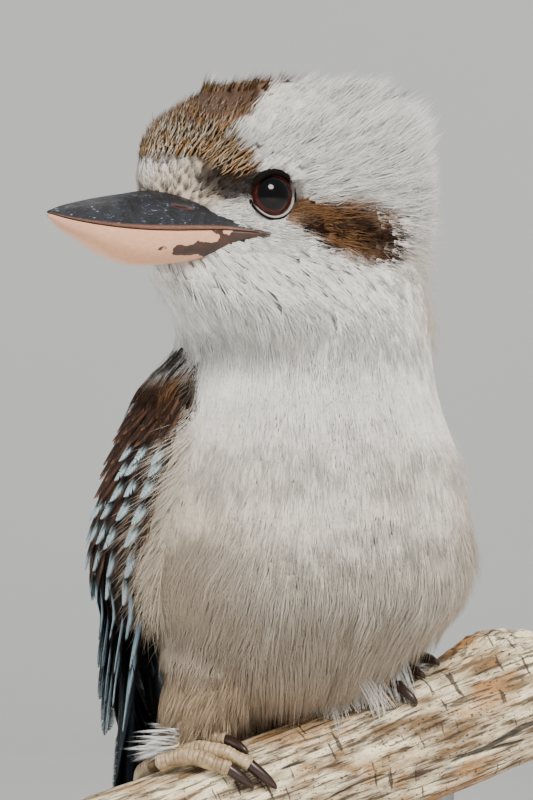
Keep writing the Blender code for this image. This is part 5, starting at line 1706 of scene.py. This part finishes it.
def make_toe(toe):
    _, start_along, start_turn, end_along, end_turn, _ = toe
    t = np.linspace(0, 1, TOE_RINGS)
    along = start_along + (end_along - start_along) * t
    turn = start_turn + (end_turn - start_turn) * t
    arch = 0.0016 * np.sin(math.pi * np.minimum(1.0, 1.25 * t))
    path = perch_place(along, turn, TOE_RADIUS + TOE_CLEAR + arch)
    over = path - perch_place(along, turn, np.zeros(TOE_RINGS))
    around = circle(TOE_SIDES)
    bead_row = np.sin(around * 9)[None, :]
    plates = max(7, int(np.linalg.norm(path[-1] - path[0]) / PLATE_LENGTH))
    step = (t * plates) % 1.0
    top = smooth_step(np.cos(around), -0.2, 0.5)
    base = TOE_RADIUS * (1.0 - TOE_NARROWING * t)
    joints = 1 + 0.06 * np.cos(t * 3 * 2 * math.pi)
    plate = (0.04 - 0.13 * step**3)[:, None] * top[None, :]
    beads = 0.03 * bead_row * np.sin(t * plates * 2 * math.pi * 1.7)[:, None] * (1 - top)
    ends = np.clip(np.minimum(t / 0.04, (1.02 - t) / 0.06), 0.25, 1.0) ** 0.5
    radii = (base * joints * ends)[:, None] * (1 + plate + beads)
    rings, _ = tube_rings(path, radii, over)
    points, triangles = closed_loft(rings)
    seam = smooth_step(step, 0.80, 0.98)[:, None] * top + (bead_row < -0.6) * 0.35 * (1 - top)
    return points, triangles, np.append(seam, (0.0, 0.0))


for leg in FEET:
    side_name = leg[0]
    leg_draw = np.random.default_rng(71 + len(side_name))
    knuckle, shank_top, _ = leg_places(leg)
    pieces = [make_toe(toe) for toe in leg[3]]
    t = np.linspace(0, 1, CURVE_STEPS)
    path = knuckle * (1 - t)[:, None] + (shank_top + np.array((0, 0, 0.004))) * t[:, None]
    plate = (t * SHANK_PLATES) % 1.0
    radii = np.interp(t, (0, 0.5, 1), SHANK_RADII) * (1 + 0.05 * plate)
    radii = np.repeat(radii[:, None], TOE_SIDES, axis=1)
    rings, _ = tube_rings(path, radii, np.tile((0.0, -1.0, 0.0), (CURVE_STEPS, 1)))
    shank_seam = np.append(np.repeat(smooth_step(plate, 0.85, 1.0), TOE_SIDES), (0.0, 0.0))
    pieces.append((*closed_loft(rings), shank_seam))
    points, triangles, seam = joined(pieces)
    mesh_piece(
        "scaled_foot_" + side_name, points, triangles, scaly, slot="foot_scutes",
        replaces=("foot_" + side_name,), stored={"seam": seam},
    )
    for toe in leg[3]:
        toe_name, start_along, start_turn, end_along, end_turn, length = toe
        along_run, turn_run = end_along - start_along, end_turn - start_turn
        tip_along = end_along + along_run * 0.25
        tip_turn = end_turn + math.copysign(length / PERCH_RADIUS, turn_run)
        places = [
            (end_along - along_run * 0.05, end_turn - turn_run * 0.05, TOE_RADIUS + TOE_CLEAR),
            (tip_along, tip_turn, 0.0032),
            (tip_along, tip_turn, TOE_CLEAR),
        ]
        first, bent, last = (perch_place(*place) for place in places)
        t = np.linspace(0, 1, CURVE_STEPS)[:, None]
        path = bent_line(first, bent, last, t)
        radii = (CLAW_RADIUS * (1 - t**1.6) + 0.00018) * np.ones((1, CLAW_SIDES))
        over = np.tile(first - PERCH_MIDDLE, (CURVE_STEPS, 1))
        rings, turn = tube_rings(path, radii, over)
        groove = bump_at(np.abs(np.sin(turn)), 0.85, 0.12)[None, :] * (1 - t)
        mesh_piece(
            f"horn_claw_{side_name}_{toe_name}", *closed_loft(rings), claw_horn, slot="claw_horn",
            replaces=(f"claw_{side_name}_{toe_name}",), stored={"seam": np.append(groove, (0.0, 0.0))},
        )
    thigh_shares = np.linspace(0, 1, 30)
    rounded = [-0.0024 - 0.014 * max(0.0, (share - 0.40) / 0.60) ** 2 for share in thigh_shares]
    thigh_rings = [thigh_place(leg, share, circle(40), lift) for share, lift in zip(thigh_shares, rounded)]
    thigh_points, thigh_triangles = closed_loft(thigh_rings)
    mesh_piece(
        "thigh_flesh_" + side_name, thigh_points, thigh_triangles, down,
        slot="breast_plumage", replaces=("thigh_" + side_name,),
        stored={"tone": np.broadcast_to(np.array(THIGH_BUFF), thigh_points.shape)},
    )
    share = leg_draw.uniform(0.02, 1.0, THIGH_LOCKS)
    turn = leg_draw.uniform(0, 2 * math.pi, THIGH_LOCKS)
    roots = thigh_place(leg, share, turn, -0.0024 - 0.024 * np.maximum(0.0, share - 0.5) ** 2)
    normals = np.stack((np.cos(turn), np.sin(turn), 0 * turn), axis=-1)
    sway = -0.45 if side_name == "right" else 0.10
    lies = laid_flat(np.array((sway, -0.10, -1.0)) + leg_draw.normal(0, 0.10, (THIGH_LOCKS, 3)), normals)
    lengths = leg_draw.uniform(0.013, 0.020, THIGH_LOCKS)
    tone = np.array(THIGH_BUFF) * leg_draw.uniform(0.9, 1.12, (THIGH_LOCKS, 1))
    # Painted shade: darker outer barbs and roots on the thigh locks.
    make_locks(
        "thigh_locks_" + side_name, roots, normals, lies, lengths,
        (10, 0.00034, (0.0008, 0.0030, 0.0022), 0.30, 0.22, 2), (tone, tone * 0.88, 0.34),
        np.stack((0.02 + 0.96 * turn / (2 * math.pi), 0.02 + 0.76 * share), axis=-1),
        "breast_plumage", leg_draw,
    )
    brush = leg_draw.integers(0, 3, TUFT_LOCKS)
    turn = leg_draw.uniform(0, 2 * math.pi, TUFT_LOCKS)
    rise = leg_draw.uniform(0, 1, TUFT_LOCKS)
    roots = knuckle + (shank_top - knuckle) * (0.15 + 0.75 * rise)[:, None]
    normals = np.stack((np.cos(turn), np.sin(turn), 0 * turn), axis=-1)
    roots = roots + normals * 0.0032
    aim = np.array(((-1.0, -0.35, -0.10), (-1.0, -0.2, -0.45), (-0.8, -0.3, 0.10)))[brush]
    aim = aim * (1.0 if side_name == "right" else -0.6)
    lies = unit(aim + normals * 0.35 + leg_draw.normal(0, 0.10, (TUFT_LOCKS, 3)))
    normals = unit(np.cross(np.cross(lies, (0.0, 0.0, 1.0)), lies))
    tone = np.tile(WHITE, (TUFT_LOCKS, 1))
    # Painted shade: darker outer barbs and roots on the tuft's locks.
    make_locks(
        "tarsal_tuft_" + side_name, roots, normals, lies, leg_draw.uniform(0.009, 0.0165, TUFT_LOCKS),
        (9, 0.00030, (0.0006, 0.0022, 0.0006), 0.10, 0.12, 3), (tone, tone * 0.86, 0.30),
        np.stack((0.02 + 0.96 * turn / (2 * math.pi), 0.82 + 0.15 * rise), axis=-1),
        "breast_plumage", leg_draw,
    )

# White wisps
# Loose pale brushes where the belly's end rests on the branch between the feet.
BELLY_WISPS = 80
wisp_draw = np.random.default_rng(83)
brush = wisp_draw.integers(0, 3, BELLY_WISPS)
azimuth = BODY_HEADING + np.array((0.10, 0.42, 0.75))[brush] + wisp_draw.normal(0, 0.07, BELLY_WISPS)
height = np.array((0.034, 0.038, 0.042))[brush] + wisp_draw.normal(0, 0.0020, BELLY_WISPS)
normals = skin_normal(azimuth, height)
roots = skin_place(azimuth, height, -0.0010)
lies = np.array((0.30, -0.05, -1.0)) + wisp_draw.normal(0, 0.14, (BELLY_WISPS, 3))
lies = unit(lies - normals * (lies * normals).sum(axis=1, keepdims=True) * 0.3)
tone = np.tile(WHITE, (BELLY_WISPS, 1))
# Painted shade: darker outer barbs and roots on the wisps.
make_locks(
    "belly_wisps", roots, normals, lies, wisp_draw.uniform(0.016, 0.026, BELLY_WISPS),
    (9, 0.00028, (0.0006, 0.0026, 0.0010), 0.20, 0.10, 3), (tone, tone * 0.9, 0.30),
    skin_uv(azimuth, height), "breast_plumage", wisp_draw,
)
